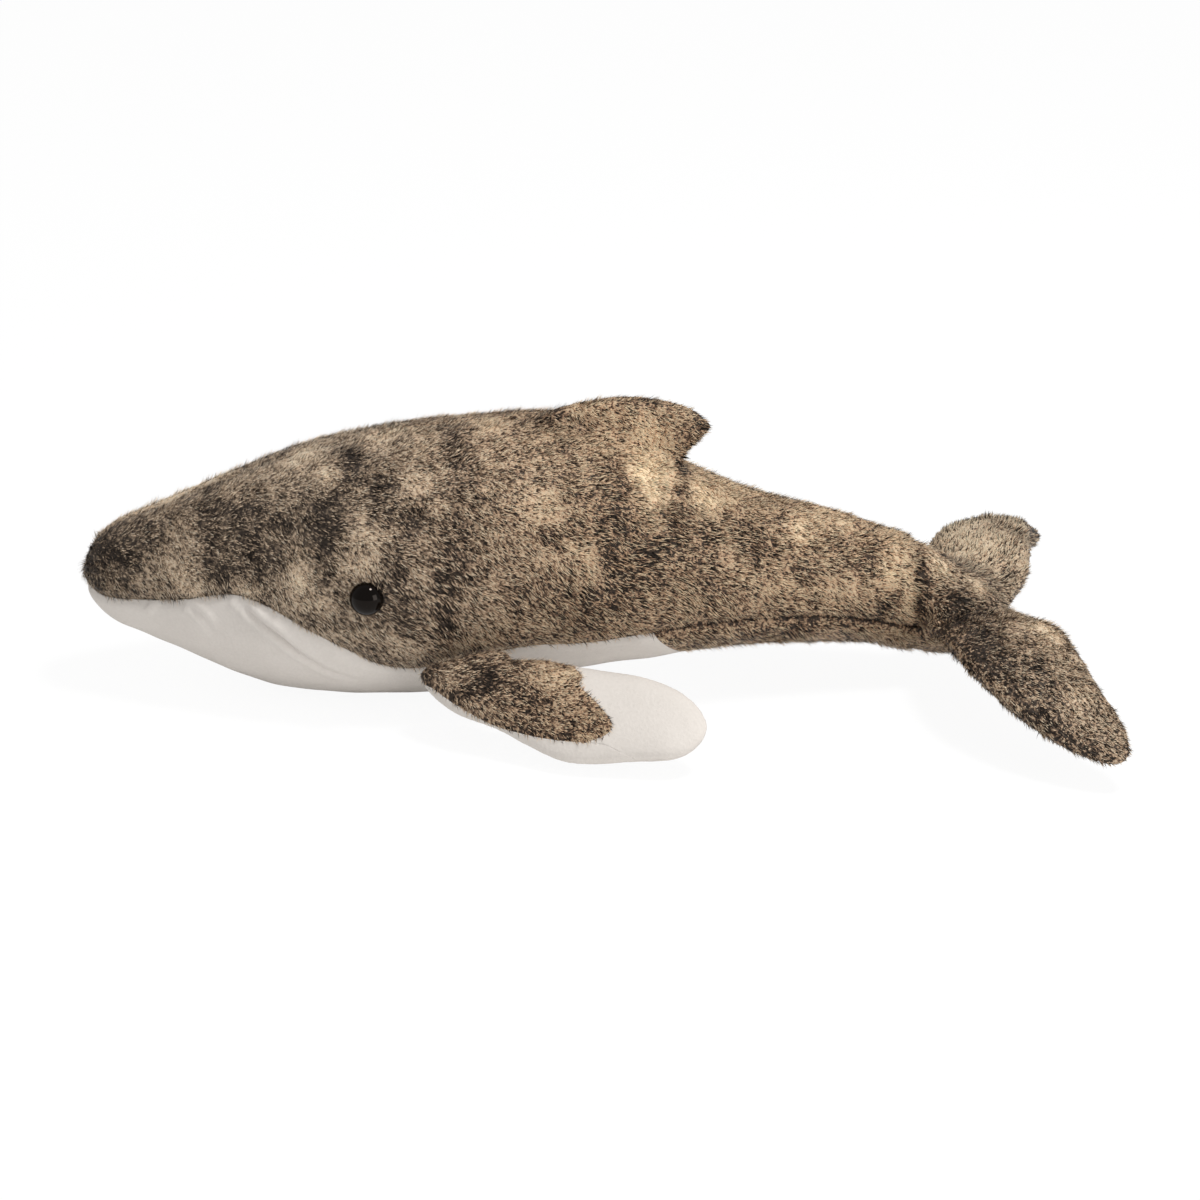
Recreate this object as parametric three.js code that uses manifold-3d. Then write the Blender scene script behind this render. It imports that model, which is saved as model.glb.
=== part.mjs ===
// A stuffed plush whale, in millimetres, +Z up, snout towards -X, lying on its belly.
// Each sewn fabric panel is a thin shell with the shape of its pile, and each stuffed
// space inside holds its own filling. The flippers swing about their sewn roots, and the
// flukes fold up and down at the crease behind the tail stock.

import * as THREE from 'three';
import { mergeVertices } from 'three/addons/utils/BufferGeometryUtils.js';
import Module from 'manifold-3d';

const wasm = await Module();
wasm.setup();

// Body
const bodyLength = 342; // snout to the end of the tail stock
const bodyHeight = 105; // belly to back, in front of the dorsal fin
const bodyWidth = 96; // across the widest place, behind the eyes
const noseLength = 17; // stretch over which the snout rounds to a point
const bellyHeight = 0; // height of the surface that the belly rests on

// Fabric and seams
const furThickness = 2.4; // mottled fabric, pile brushed down
const velboaThickness = 1.8; // white fabric, short pile
const seamGap = 0.3; // width of each seam line, and play between fabric and filling

// Dorsal fin
const finLength = 73;
const finHeight = 29; // from the outline's base, inside the back, to the ridge
const finThickness = 15;
const finFront = 156; // station where the fin's outline starts
const finBaseHeight = 82.5; // height of the base of the fin's outline

// Flippers
const flipperLength = 98; // along the hinge line, from the root's front to the tip
const flipperReach = 50; // across the hinge line, to the leading edge
const flipperThickness = 15;
const flipperRootWidth = 34;
const flipperRootThickness = 10.5;
const flipperStation = 139.5; // station of the middle of the root
const flipperRootHeight = 29; // height at which the root meets the side
const flipperDroop = 43; // degrees that the blade hangs below level
const flipperRake = 12.5; // degrees that the hinge line climbs towards the tail
const flipperFurLength = 58; // fur part of the upper side, before the white tip
const tipSlant = 10; // how much further the fur reaches at the leading edge
const underWrap = 6; // how far the white underside wraps round the leading edge

// Flukes
const flukeHalfSpan = 98; // midline to one tip
const flukeDepth = 64; // crease to the rearmost edge of a lobe
const flukeThickness = 15;
const flukeDroop = 17; // drop of the tips below the root
const flukeRootHeight = 28; // height of the edge seam at the root
const stockEnd = 38; // length of the tail stock's end, which runs on under the flukes
const foldStation = bodyLength - stockEnd; // crease between tail stock and flukes
const foldRadius = 28; // curved end of the tail stock, round the fold's axis
const foldHeight = 31.5; // height of the fold's axis

// Eyes
const eyeDiameter = 12;
const eyeRise = 5; // dome above its rim
const eyeRim = 0.9;
const eyeStation = 106;
const eyeHeight = 52.5;
const eyeBacking = 1.2; // fabric left under the eye, without its pile
const stemDiameter = 4.4;
const stemLength = 9;
const washerDiameter = 15;
const washerThickness = 1.6;

const cutOverrun = 40; // how far each cutting form runs past what it cuts

// Outlines, as shares: [share of the body's length, share of the size named beside it]
const backShares = [ // of the body's height
  [0, 0.6], [0.03, 0.612], [0.085, 0.681], [0.128, 0.739], [0.213, 0.845], [0.319, 0.935],
  [0.426, 0.978], [0.497, 0.984], [0.554, 0.943], [0.607, 0.862], [0.65, 0.787], [0.702, 0.714],
  [0.766, 0.661], [0.82, 0.611], [0.889, 0.518], [0.912, 0.478], [0.95, 0.4], [1, 0.315],
];
const bellyShares = [ // of the body's height
  [0, 0.258], [0.04, 0.226], [0.085, 0.168], [0.128, 0.107], [0.17, 0.05], [0.213, 0.006],
  [0.266, -0.005], [0.38, -0.005], [0.426, 0.02], [0.49, 0.055], [0.554, 0.09], [0.607, 0.108],
  [0.65, 0.133], [0.702, 0.149], [0.766, 0.154], [0.82, 0.146], [0.889, 0.116], [0.912, 0.118],
  [0.95, 0.145], [1, 0.22],
];
const widthShares = [ // of the body's width, on each side of the midline
  [0, 0.161], [0.04, 0.182], [0.085, 0.25], [0.128, 0.3125], [0.17, 0.365], [0.213, 0.417],
  [0.266, 0.469], [0.319, 0.495], [0.38, 0.5], [0.439, 0.49], [0.49, 0.469], [0.554, 0.4375],
  [0.607, 0.391], [0.65, 0.344], [0.702, 0.286], [0.766, 0.234], [0.82, 0.198], [0.889, 0.156],
  [0.95, 0.12], [1, 0.073],
];
// Lower edge of the fur on the sides: round the mouth, over the flippers and along the tail
const sideSeamShares = [ // of the body's height
  [0, 0.4], [0.033, 0.377], [0.108, 0.414], [0.17, 0.462], [0.204, 0.44], [0.25, 0.363],
  [0.291, 0.288], [0.318, 0.233], [0.357, 0.211], [0.41, 0.25], [0.47, 0.29], [0.535, 0.287],
  [0.593, 0.305], [0.652, 0.319], [0.721, 0.317], [0.804, 0.298], [0.855, 0.261], [0.905, 0.231],
  [1, 0.22],
];
// Where the white belly fabric stops under the tail: [share of length, share of height]
const bellyEndShares = [[0.595, 0.34], [0.618, 0.23], [0.645, 0.14], [0.7, 0]];

// Outline of the fin: [share of its length, share of its height]
const finShares = [
  [0, 0.36], [0.1, 0.73], [0.24, 0.88], [0.35, 0.94], [0.48, 0.985], [0.6, 0.985], [0.73, 0.94],
  [0.82, 0.9], [0.9, 0.83], [0.96, 0.73], [0.99, 0.58], [0.98, 0.45], [0.93, 0.31], [0.885, 0.2],
  [0.86, 0.08], [0.85, -0.1],
];
// Outline of a flipper: [share of its length, share of its reach], leading edge first
const flipperShares = [
  [0, 0], [0.02, 0.13], [0.11, 0.33], [0.245, 0.51], [0.33, 0.65], [0.445, 0.83], [0.55, 0.9],
  [0.69, 0.94], [0.86, 0.985], [0.945, 0.93], [0.99, 0.8], [0.97, 0.63], [0.905, 0.47],
  [0.81, 0.34], [0.67, 0.22], [0.555, 0.13], [0.46, 0.05], [0.35, 0],
];
// Outline of a lobe: [share of the flukes' depth, share of the half span], leading edge first
const lobeShares = [
  [0.04, 0.06], [0, 0.2], [0.03, 0.4], [0.1, 0.56], [0.2, 0.69], [0.34, 0.8], [0.52, 0.9],
  [0.72, 0.97], [0.86, 1], [0.945, 0.98], [0.97, 0.91], [0.925, 0.82], [0.865, 0.74],
  [0.81, 0.65], [0.765, 0.54], [0.74, 0.4], [0.64, 0.22], [0.47, 0.06],
];
const archShares = [ // [share of the half span, share of the droop]
  [0, 0], [0.15, 0.05], [0.4, 0.32], [0.63, 0.2], [0.82, -0.32], [1, -0.95],
];
const finSwellShares = [[0, 1], [0.5, 0.85], [0.85, 0.6], [1, 0.5]];
const flipperSwellShares = [[0, 0.7], [0.25, 0.85], [0.6, 1], [0.85, 0.8], [1, 0.6]];
const lobeSwellShares = [[0, 1], [0.4, 0.95], [0.75, 0.8], [0.9, 0.6], [1, 0.5]];

// Colours and finishes
const furColour = 0x7d6c5a;
const velboaColour = 0xe6ded6;
const fillingColour = 0xf0efec;
const eyeColour = 0x14100e;
const washerColour = 0xdadada;

// Value of the smooth line through a table of [place, value] points
function lineAt(table, place) {
  const last = table.length - 1;
  let i = 0;
  while (i < last - 1 && place > table[i + 1][0]) i += 1;
  const slopeAt = (k) => {
    const before = table[Math.max(k - 1, 0)];
    const after = table[Math.min(k + 1, last)];
    return (after[1] - before[1]) / (after[0] - before[0]);
  };
  const [x0, y0] = table[i];
  const [x1, y1] = table[i + 1];
  const width = x1 - x0;
  const t = Math.min(Math.max((place - x0) / width, 0), 1);
  const rise = 3 * t * t - 2 * t * t * t;
  const leave = t * (1 - t) * (1 - t) * width * slopeAt(i);
  const arrive = t * t * (t - 1) * width * slopeAt(i + 1);
  return y0 + (y1 - y0) * rise + leave + arrive;
}

// Closed surface through rings of points, with a flat fan or a tip at each end
function loft(rings, startTip, endTip) {
  const count = rings[0].length;
  const points = rings.flat();
  const centre = (ring) => ring.reduce((sum, p) => sum.add(p), new THREE.Vector3()).divideScalar(count);
  const start = points.push(startTip || centre(rings[0])) - 1;
  const end = points.push(endTip || centre(rings[rings.length - 1])) - 1;
  const faces = [];
  rings.forEach((ring, i) => {
    for (let j = 0; j < count; j += 1) {
      const a = i * count + j;
      const b = i * count + (j + 1) % count;
      if (i === 0) faces.push([start, b, a]);
      if (i === rings.length - 1) faces.push([end, a, b]);
      else faces.push([a, b, a + count], [b, b + count, a + count]);
    }
  });
  const volume = faces.reduce((sum, [a, b, c]) => {
    const across = new THREE.Vector3().crossVectors(points[b], points[c]);
    return sum + points[a].dot(across);
  }, 0);
  const index = faces.flatMap(([a, b, c]) => (volume > 0 ? [a, b, c] : [a, c, b]));
  const geometry = new THREE.BufferGeometry().setFromPoints(points);
  geometry.setIndex(index);
  return geometry;
}

// A copy whose faces share their corners
function welded(geometry) {
  const bare = geometry.clone();
  bare.deleteAttribute('normal');
  bare.deleteAttribute('uv');
  return mergeVertices(bare);
}

// A closed geometry as a solid that can be joined and cut
function solidOf(geometry) {
  const merged = welded(geometry);
  return new wasm.Manifold(new wasm.Mesh({
    numProp: 3,
    vertProperties: new Float32Array(merged.attributes.position.array),
    triVerts: new Uint32Array(merged.index.array),
  }));
}

function geometryOf(solid) {
  const { vertProperties, numProp, triVerts } = solid.getMesh();
  const points = [];
  for (let i = 0; i < vertProperties.length; i += numProp) {
    points.push(new THREE.Vector3(...vertProperties.slice(i, i + 3)));
  }
  const geometry = new THREE.BufferGeometry().setFromPoints(points);
  geometry.setIndex(Array.from(triVerts));
  geometry.computeVertexNormals();
  return geometry;
}

// The same form on the other side of the midline
function mirrored(geometry) {
  const other = geometry.clone().scale(1, -1, 1);
  const index = Array.from(other.index.array);
  for (let i = 0; i < index.length; i += 3) {
    [index[i + 1], index[i + 2]] = [index[i + 2], index[i + 1]];
  }
  other.setIndex(index);
  other.computeVertexNormals();
  return other;
}

function block(minX, minY, minZ, maxX, maxY, maxZ) {
  const box = new THREE.BoxGeometry(maxX - minX, maxY - minY, maxZ - minZ);
  return solidOf(box.translate((minX + maxX) / 2, (minY + maxY) / 2, (minZ + maxZ) / 2));
}

// A prism whose outline lies in the plane of two axes and which runs along the third
function prism(outline, depth, turn) {
  const shape = new THREE.Shape(outline.map(([x, y]) => new THREE.Vector2(x, y)));
  const geometry = new THREE.ExtrudeGeometry(shape, { depth, bevelEnabled: false, steps: 1 });
  geometry.translate(0, 0, -depth / 2);
  if (turn === 'side') geometry.rotateX(Math.PI / 2);
  if (turn === 'front') geometry.rotateX(Math.PI / 2).rotateZ(Math.PI / 2);
  return solidOf(geometry);
}

// Body: one ring of its skin at a station, drawn in by an inset
const ringPoints = 22;
const innerRingPoints = 14;
const innerDetailShare = 0.7; // facets of an inner form, against the outer one
const reach = bodyLength + cutOverrun;

function sectionAt(station, inset) {
  const share = Math.min(station / bodyLength, 1);
  const fromNose = Math.min(Math.max((station - inset) / (noseLength - inset), 0), 1);
  const rounding = Math.sqrt(1 - (1 - fromNose) ** 2);
  const top = bodyHeight * lineAt(backShares, share);
  const bottom = bodyHeight * lineAt(bellyShares, share);
  return {
    middle: (top + bottom) / 2,
    halfHeight: ((top - bottom) / 2 - inset) * rounding,
    halfWidth: (bodyWidth * lineAt(widthShares, share) - inset) * rounding,
  };
}

function bodyRing(station, inset) {
  const { middle, halfHeight, halfWidth } = sectionAt(station, inset);
  const count = inset > 0 ? innerRingPoints : ringPoints;
  return Array.from({ length: count }, (_, j) => {
    const angle = 2 * Math.PI * j / count;
    return new THREE.Vector3(
      station,
      -halfWidth * Math.sin(angle),
      middle + halfHeight * Math.cos(angle),
    );
  });
}

function bodyForm(inset, from, to, steps) {
  const rings = [];
  const noseSteps = inset > 0 ? 3 : 4;
  if (from === 0) {
    for (let i = 1; i <= noseSteps; i += 1) {
      const lean = Math.cos(Math.PI / 2 * i / noseSteps);
      rings.push(bodyRing(inset + (noseLength - inset) * (1 - lean), inset));
    }
  }
  const first = from === 0 ? noseLength : from;
  for (let i = from === 0 ? 1 : 0; i <= steps; i += 1) {
    rings.push(bodyRing(first + (to - first) * i / steps, inset));
  }
  const nose = new THREE.Vector3(inset, 0, sectionAt(inset, inset).middle);
  return solidOf(loft(rings, from === 0 ? nose : null, null));
}

// The point of the side at a station and height, and the way the side faces there
function sidePoint(station, height) {
  const { middle, halfHeight, halfWidth } = sectionAt(station, 0);
  const cosine = (height - middle) / halfHeight;
  const sine = Math.sqrt(1 - cosine ** 2);
  const slope = (sectionAt(station + noseLength, 0).halfWidth
    - sectionAt(station - noseLength, 0).halfWidth) / (2 * noseLength);
  const point = new THREE.Vector3(station, -halfWidth * sine, height);
  const facing = new THREE.Vector3(-slope * sine, -sine / halfWidth * halfHeight, cosine);
  return { point, facing: facing.normalize() };
}

// A stuffed blade: ribs join the two edges of an outline, and each rib swells to an ellipse
function blade({ shares, length, width, thickness, swell, place, ribs, around }, inset) {
  const outline = new THREE.SplineCurve(
    shares.map(([along, across]) => new THREE.Vector2(along * length, across * width)),
  );
  const edgeAt = (t) => {
    const tangent = outline.getTangentAt(t);
    return outline.getPointAt(t).add(new THREE.Vector2(tangent.y, -tangent.x).multiplyScalar(inset));
  };
  const rings = [];
  const ribCount = inset > 0 ? Math.ceil(ribs * innerDetailShare) : ribs;
  const ringCount = inset > 0 ? Math.ceil(around * innerDetailShare) : around;
  for (let i = 0; i < ribCount; i += 1) {
    const share = Math.sin(Math.PI / 2 * i / ribCount);
    const lead = edgeAt(share / 2);
    const trail = edgeAt(1 - share / 2);
    const swelling = thickness / 2 * lineAt(swell, share) * Math.sqrt(1 - share ** 8);
    const half = Math.max(swelling - inset, seamGap);
    rings.push(Array.from({ length: ringCount }, (_, j) => {
      const angle = 2 * Math.PI * j / ringCount;
      const along = (1 + Math.cos(angle)) / 2;
      const spot = lead.clone().lerp(trail, along);
      return place(spot.x, spot.y, half * Math.sin(angle));
    }));
  }
  const tip = edgeAt(0.5);
  return solidOf(loft(rings, null, place(tip.x, tip.y, 0)));
}

// Dorsal fin: stands on the midline, its root inside the back
const finBlade = {
  shares: finShares,
  length: finLength,
  width: finHeight,
  thickness: finThickness,
  swell: finSwellShares,
  place: (along, up, out) => new THREE.Vector3(finFront + along, out, finBaseHeight + up),
  ribs: 7,
  around: 8,
};

// Region on one side of the fold: the stock ends in a cylinder round the fold's axis
const foldAxisStation = foldStation - Math.sqrt(foldRadius ** 2 - (foldHeight
  - bodyHeight * lineAt(bellyShares, foldStation / bodyLength)) ** 2);
const stockHalfWidth = sectionAt(foldAxisStation, 0).halfWidth + seamGap;

function foldCylinder(radius, halfLength) {
  const cylinder = new THREE.CylinderGeometry(radius, radius, 2 * halfLength, 24);
  return solidOf(cylinder.translate(foldAxisStation, 0, foldHeight));
}

const stockRegion = block(-cutOverrun, -bodyWidth, -cutOverrun, foldAxisStation, bodyWidth,
  bodyHeight + cutOverrun).add(foldCylinder(foldRadius, bodyWidth));
const flukeFront = foldCylinder(foldRadius + seamGap, stockHalfWidth);
const foldLips = foldAxisStation + foldRadius / 2; // where the flukes' root starts

function seamHeight(station) {
  return bodyHeight * lineAt(sideSeamShares, Math.min(Math.max(station / bodyLength, 0), 1));
}

// Side view region above or below the side seam, clear of it by half the seam's width
function besideSeam(above) {
  const far = above ? bodyHeight + cutOverrun : -cutOverrun;
  const shift = above ? seamGap / 2 : -seamGap / 2;
  const steps = 20;
  const edge = Array.from({ length: steps + 1 }, (_, i) => {
    const station = bodyLength * i / steps;
    return [station, seamHeight(station) + shift];
  });
  const outline = [
    [-cutOverrun, edge[0][1]],
    ...edge,
    [reach, edge[steps][1]],
    [reach, far],
    [-cutOverrun, far],
  ];
  return prism(above ? outline : outline.reverse(), 2 * bodyWidth, 'side');
}

// Side view region in front of the white belly fabric's end, or behind it
function besideBellyEnd(front) {
  const shift = front ? -seamGap / 2 : seamGap / 2;
  const edge = bellyEndShares.map(([along, up]) => [bodyLength * along + shift, bodyHeight * up]);
  const far = front ? -cutOverrun : reach;
  const outline = [
    [far, edge[0][1] + cutOverrun],
    [edge[0][0], edge[0][1] + cutOverrun],
    ...edge,
    [edge[edge.length - 1][0], -cutOverrun],
    [far, -cutOverrun],
  ];
  return prism(outline, 2 * bodyWidth, 'side');
}

const leftHalf = block(-cutOverrun, -bodyWidth, -cutOverrun, reach, -seamGap / 2,
  bodyHeight + cutOverrun);
const rightHalf = block(-cutOverrun, seamGap / 2, -cutOverrun, reach, bodyWidth,
  bodyHeight + cutOverrun);
const underTable = block(-cutOverrun, -bodyWidth, -cutOverrun, reach, bodyWidth, bellyHeight);

// Eyes: a domed button whose stem goes through the fabric into a locking washer
const eyeSeat = sidePoint(eyeStation, eyeHeight);
const eyeTurn = new THREE.Quaternion().setFromUnitVectors(new THREE.Vector3(0, 1, 0), eyeSeat.facing);

function turned(profile, segments) {
  const points = profile.map(([radius, height]) => new THREE.Vector2(radius, height));
  return new THREE.LatheGeometry(points, segments);
}

function atEye(geometry) {
  return geometry.applyQuaternion(eyeTurn).translate(...eyeSeat.point);
}

const eyeRadius = eyeDiameter / 2;
const stemRadius = stemDiameter / 2;
const rimHeight = eyeBacking - furThickness + seamGap; // underside of the rim on the backing
const washerTop = -furThickness - seamGap;
const pocketDepth = stemLength + seamGap;

function eyeGeometry() {
  const domeSteps = 6;
  const dome = Array.from({ length: domeSteps + 1 }, (_, i) => {
    const lean = Math.PI / 2 * i / domeSteps;
    return [eyeRadius * Math.cos(lean), rimHeight + eyeRim + eyeRise * Math.sin(lean)];
  });
  return atEye(turned([
    [0, rimHeight - stemLength],
    [stemRadius / 2, rimHeight - stemLength],
    [stemRadius, rimHeight - stemLength + stemRadius],
    [stemRadius, rimHeight],
    [eyeRadius, rimHeight],
    ...dome.slice(0, domeSteps),
    [0, rimHeight + eyeRim + eyeRise],
  ], 16));
}

function washerGeometry() {
  const inner = stemRadius + seamGap;
  const outer = washerDiameter / 2;
  const bottom = washerTop - washerThickness;
  return atEye(turned([
    [inner, bottom],
    [outer - washerThickness, bottom],
    [outer, bottom + washerThickness / 2],
    [outer, washerTop],
    [inner, washerTop],
    [inner, bottom],
  ], 16));
}

// Space that the eye takes out of the fabric, and the washer and stem out of the filling
function eyePocket() {
  const well = eyeRadius + seamGap;
  const hole = stemRadius + seamGap;
  const seat = washerDiameter / 2 + seamGap;
  return turned([
    [0, -pocketDepth],
    [seat, -pocketDepth],
    [seat, -furThickness],
    [hole, -furThickness],
    [hole, eyeBacking - furThickness],
    [well, eyeBacking - furThickness],
    [well, eyeRadius],
    [0, eyeRadius],
  ], 16);
}

function washerPocket() {
  const outer = washerDiameter / 2 + seamGap;
  const hole = stemRadius + seamGap;
  return turned([
    [0, rimHeight - pocketDepth],
    [hole, rimHeight - pocketDepth],
    [hole, washerTop - washerThickness - seamGap],
    [outer, washerTop - washerThickness - seamGap],
    [outer, eyeRadius],
    [0, eyeRadius],
  ], 16);
}

const eyeWell = solidOf(atEye(eyePocket()));
const eyeWellRight = solidOf(mirrored(welded(atEye(eyePocket()))));
const washerWell = solidOf(atEye(washerPocket()));
const washerWellRight = solidOf(mirrored(welded(atEye(washerPocket()))));

// Body shells: the outer form less the space for the filling, parted along the seams
const outerBody = bodyForm(0, 0, bodyLength, 20).add(blade(finBlade, 0));
const furSpace = bodyForm(furThickness, 0, bodyLength, 10).add(blade(finBlade, furThickness));
const velboaSpace = bodyForm(velboaThickness, 0, bodyLength, 10);
const furSkin = outerBody.subtract(furSpace).intersect(stockRegion).subtract(underTable);
const velboaSkin = outerBody.subtract(velboaSpace).intersect(stockRegion).subtract(underTable);
const sides = furSkin.intersect(besideSeam(true));
const leftSide = sides.intersect(leftHalf).subtract(eyeWell);
const rightSide = sides.intersect(rightHalf).subtract(eyeWellRight);
const bellyPanel = velboaSkin.intersect(besideSeam(false)).intersect(besideBellyEnd(true));
const tailUnderside = furSkin.intersect(besideSeam(false)).intersect(besideBellyEnd(false));

const fillingInset = furThickness + seamGap;
const bodyFilling = bodyForm(fillingInset, 0, bodyLength, 10)
  .add(blade(finBlade, fillingInset))
  .intersect(stockRegion)
  .subtract(washerWell)
  .subtract(washerWellRight);

// Flukes: the end of the stock with a lobe on each side, split along the edge seam
function lobeLift(across) {
  return flukeDroop * lineAt(archShares, across / flukeHalfSpan);
}

const lobeBlade = {
  shares: lobeShares,
  length: flukeDepth,
  width: flukeHalfSpan,
  thickness: flukeThickness,
  swell: lobeSwellShares,
  place: (along, across, up) => new THREE.Vector3(
    foldStation + along,
    -across,
    flukeRootHeight + lobeLift(across) + up,
  ),
  ribs: 8,
  around: 8,
};

function flukesForm(inset) {
  const lobe = blade(lobeBlade, inset);
  const otherLobe = solidOf(mirrored(geometryOf(lobe)));
  const root = bodyForm(inset, foldLips, bodyLength - inset, 4);
  return root.add(lobe).add(otherLobe);
}

// Region above or below the flukes' edge seam, which follows the arch of the lobes
function besideEdgeSeam(above) {
  const shift = above ? seamGap / 2 : -seamGap / 2;
  const far = above ? bodyHeight : -cutOverrun;
  const steps = 12;
  const half = Array.from({ length: steps + 1 }, (_, i) => {
    const across = flukeHalfSpan * i / steps;
    return [across, flukeRootHeight + lobeLift(across) + shift];
  });
  const tip = [flukeHalfSpan + cutOverrun, half[steps][1]];
  const rightEdge = [...half, tip];
  const leftEdge = rightEdge.slice(1).map(([across, up]) => [-across, up]).reverse();
  const edge = [...leftEdge, ...rightEdge];
  const outline = [...edge, [tip[0], far], [-tip[0], far]];
  return prism(above ? outline : outline.reverse(), 4 * bodyLength, 'front');
}

const flukesSkin = flukesForm(0).subtract(flukesForm(furThickness)).subtract(flukeFront);
const flukesTop = flukesSkin.intersect(besideEdgeSeam(true));
const flukesLeftTop = flukesTop.intersect(
  block(0, -bodyLength, -cutOverrun, reach, -seamGap / 2, bodyHeight),
);
const flukesRightTop = flukesTop.intersect(
  block(0, seamGap / 2, -cutOverrun, reach, bodyLength, bodyHeight),
);
const flukesUnderside = flukesSkin.intersect(besideEdgeSeam(false));
const flukesFilling = flukesForm(fillingInset).subtract(flukeFront);

// Flippers: local x runs along the hinge towards the tail, z faces up and out
const flipperSeat = sidePoint(flipperStation, flipperRootHeight);
const knuckle = flipperRootThickness / 2;

const flipperBlade = {
  shares: flipperShares,
  length: flipperLength,
  width: flipperReach,
  thickness: flipperThickness,
  swell: flipperSwellShares,
  place: (along, across, up) => new THREE.Vector3(along - flipperRootWidth / 2, -across, up),
  ribs: 8,
  around: 8,
};

function flipperForm(inset) {
  const root = new THREE.CapsuleGeometry(knuckle - inset, flipperRootWidth - 2 * knuckle, 2, 12);
  return blade(flipperBlade, inset).add(solidOf(root.rotateZ(Math.PI / 2)));
}

// Upper or lower side of the edge seam, which lies higher along the leading edge
function besideFlipperSeam(above) {
  const shift = above ? seamGap / 2 : -seamGap / 2;
  const far = above ? cutOverrun : -cutOverrun;
  const outline = [
    [-flipperReach - knuckle, underWrap + shift],
    [-flipperReach / 2, underWrap / 2 + shift],
    [0, shift],
    [cutOverrun, shift],
    [cutOverrun, far],
    [-flipperReach - knuckle, far],
  ];
  return prism(above ? outline : outline.reverse(), 4 * flipperLength, 'front');
}

// Plan region of the fur on the upper side, or of the white tip beyond it
function besideTipSeam(fur) {
  const shift = fur ? -seamGap / 2 : seamGap / 2;
  const start = flipperFurLength - flipperRootWidth / 2 + shift;
  const far = fur ? -flipperLength : flipperLength;
  return prism([
    [far, knuckle + seamGap],
    [start - tipSlant / 2, knuckle + seamGap],
    [start + tipSlant / 2, -flipperReach - seamGap],
    [far, -flipperReach - seamGap],
  ], 2 * cutOverrun, 'plan');
}

const flipperOuter = flipperForm(0);
const flipperUpper = flipperOuter.subtract(flipperForm(furThickness))
  .intersect(besideFlipperSeam(true));
const flipperFur = flipperUpper.intersect(besideTipSeam(true));
const flipperTip = flipperOuter.subtract(flipperForm(velboaThickness))
  .intersect(besideFlipperSeam(true)).intersect(besideTipSeam(false));
const flipperUnderside = flipperOuter.subtract(flipperForm(velboaThickness))
  .intersect(besideFlipperSeam(false));
const flipperFilling = flipperForm(fillingInset);

// Materials
const finish = (color, roughness) => () => new THREE.MeshStandardMaterial({
  color,
  roughness,
  metalness: 0,
});
const fur = finish(furColour, 0.95);
const velboa = finish(velboaColour, 0.9);
const stuffing = finish(fillingColour, 1);
const eyePlastic = finish(eyeColour, 0.08);
const washerPlastic = finish(washerColour, 0.4);

function piece(name, geometry, material) {
  const mesh = new THREE.Mesh(geometry, material());
  mesh.name = name;
  return mesh;
}

// A flipper's pieces on their hinge, on one side of the body
function flipper(side) {
  const group = new THREE.Group();
  const left = side === 'left';
  const sided = (solid) => (left ? geometryOf(solid) : mirrored(geometryOf(solid)));
  group.add(
    piece(`${side}_flipper_fur_panel`, sided(flipperFur), fur),
    piece(`${side}_flipper_white_tip`, sided(flipperTip), velboa),
    piece(`${side}_flipper_underside`, sided(flipperUnderside), velboa),
    piece(`${side}_flipper_filling`, sided(flipperFilling), stuffing),
  );
  const hand = left ? 1 : -1;
  const seat = flipperSeat.point.clone()
    .addScaledVector(flipperSeat.facing, knuckle + seamGap);
  group.position.set(seat.x, seat.y * hand, seat.z);
  group.rotation.order = 'ZYX';
  group.rotation.x = THREE.MathUtils.degToRad(flipperDroop) * hand;
  group.rotation.y = -THREE.MathUtils.degToRad(flipperRake);
  return group;
}

const whale = new THREE.Group();
whale.add(
  piece('left_side_panel', geometryOf(leftSide), fur),
  piece('right_side_panel', geometryOf(rightSide), fur),
  piece('throat_belly_panel', geometryOf(bellyPanel), velboa),
  piece('tail_underside_panel', geometryOf(tailUnderside), fur),
  piece('body_filling', geometryOf(bodyFilling), stuffing),
  piece('left_fluke_top_panel', geometryOf(flukesLeftTop), fur),
  piece('right_fluke_top_panel', geometryOf(flukesRightTop), fur),
  piece('fluke_underside_panel', geometryOf(flukesUnderside), fur),
  piece('fluke_filling', geometryOf(flukesFilling), stuffing),
  piece('left_eye', eyeGeometry(), eyePlastic),
  piece('right_eye', mirrored(welded(eyeGeometry())), eyePlastic),
  piece('left_eye_washer', washerGeometry(), washerPlastic),
  piece('right_eye_washer', mirrored(welded(washerGeometry())), washerPlastic),
  flipper('left'),
  flipper('right'),
);

// The origin is under the middle of the whole whale, on the surface that it lies on
const extent = new THREE.Box3().setFromObject(whale, true);
whale.position.x = -(extent.min.x + extent.max.x) / 2;

const group = new THREE.Group();
group.add(whale);

export default group;
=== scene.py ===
# %% [markdown]
# # A stuffed plush whale
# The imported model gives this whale's sizes, its pieces and the places where its flippers
# and flukes turn. Here each fabric panel is sewn again as a soft skin, the mottled fabric
# gets its pile tuft by tuft, and the eyes get their polish. Lengths are worked out in
# millimetres, as a pattern maker would, and become metres when a mesh is made.

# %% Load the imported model
import math

import bmesh
import bpy
import numpy as np
from mathutils import Euler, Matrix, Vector, noise
from mathutils.kdtree import KDTree


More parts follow.
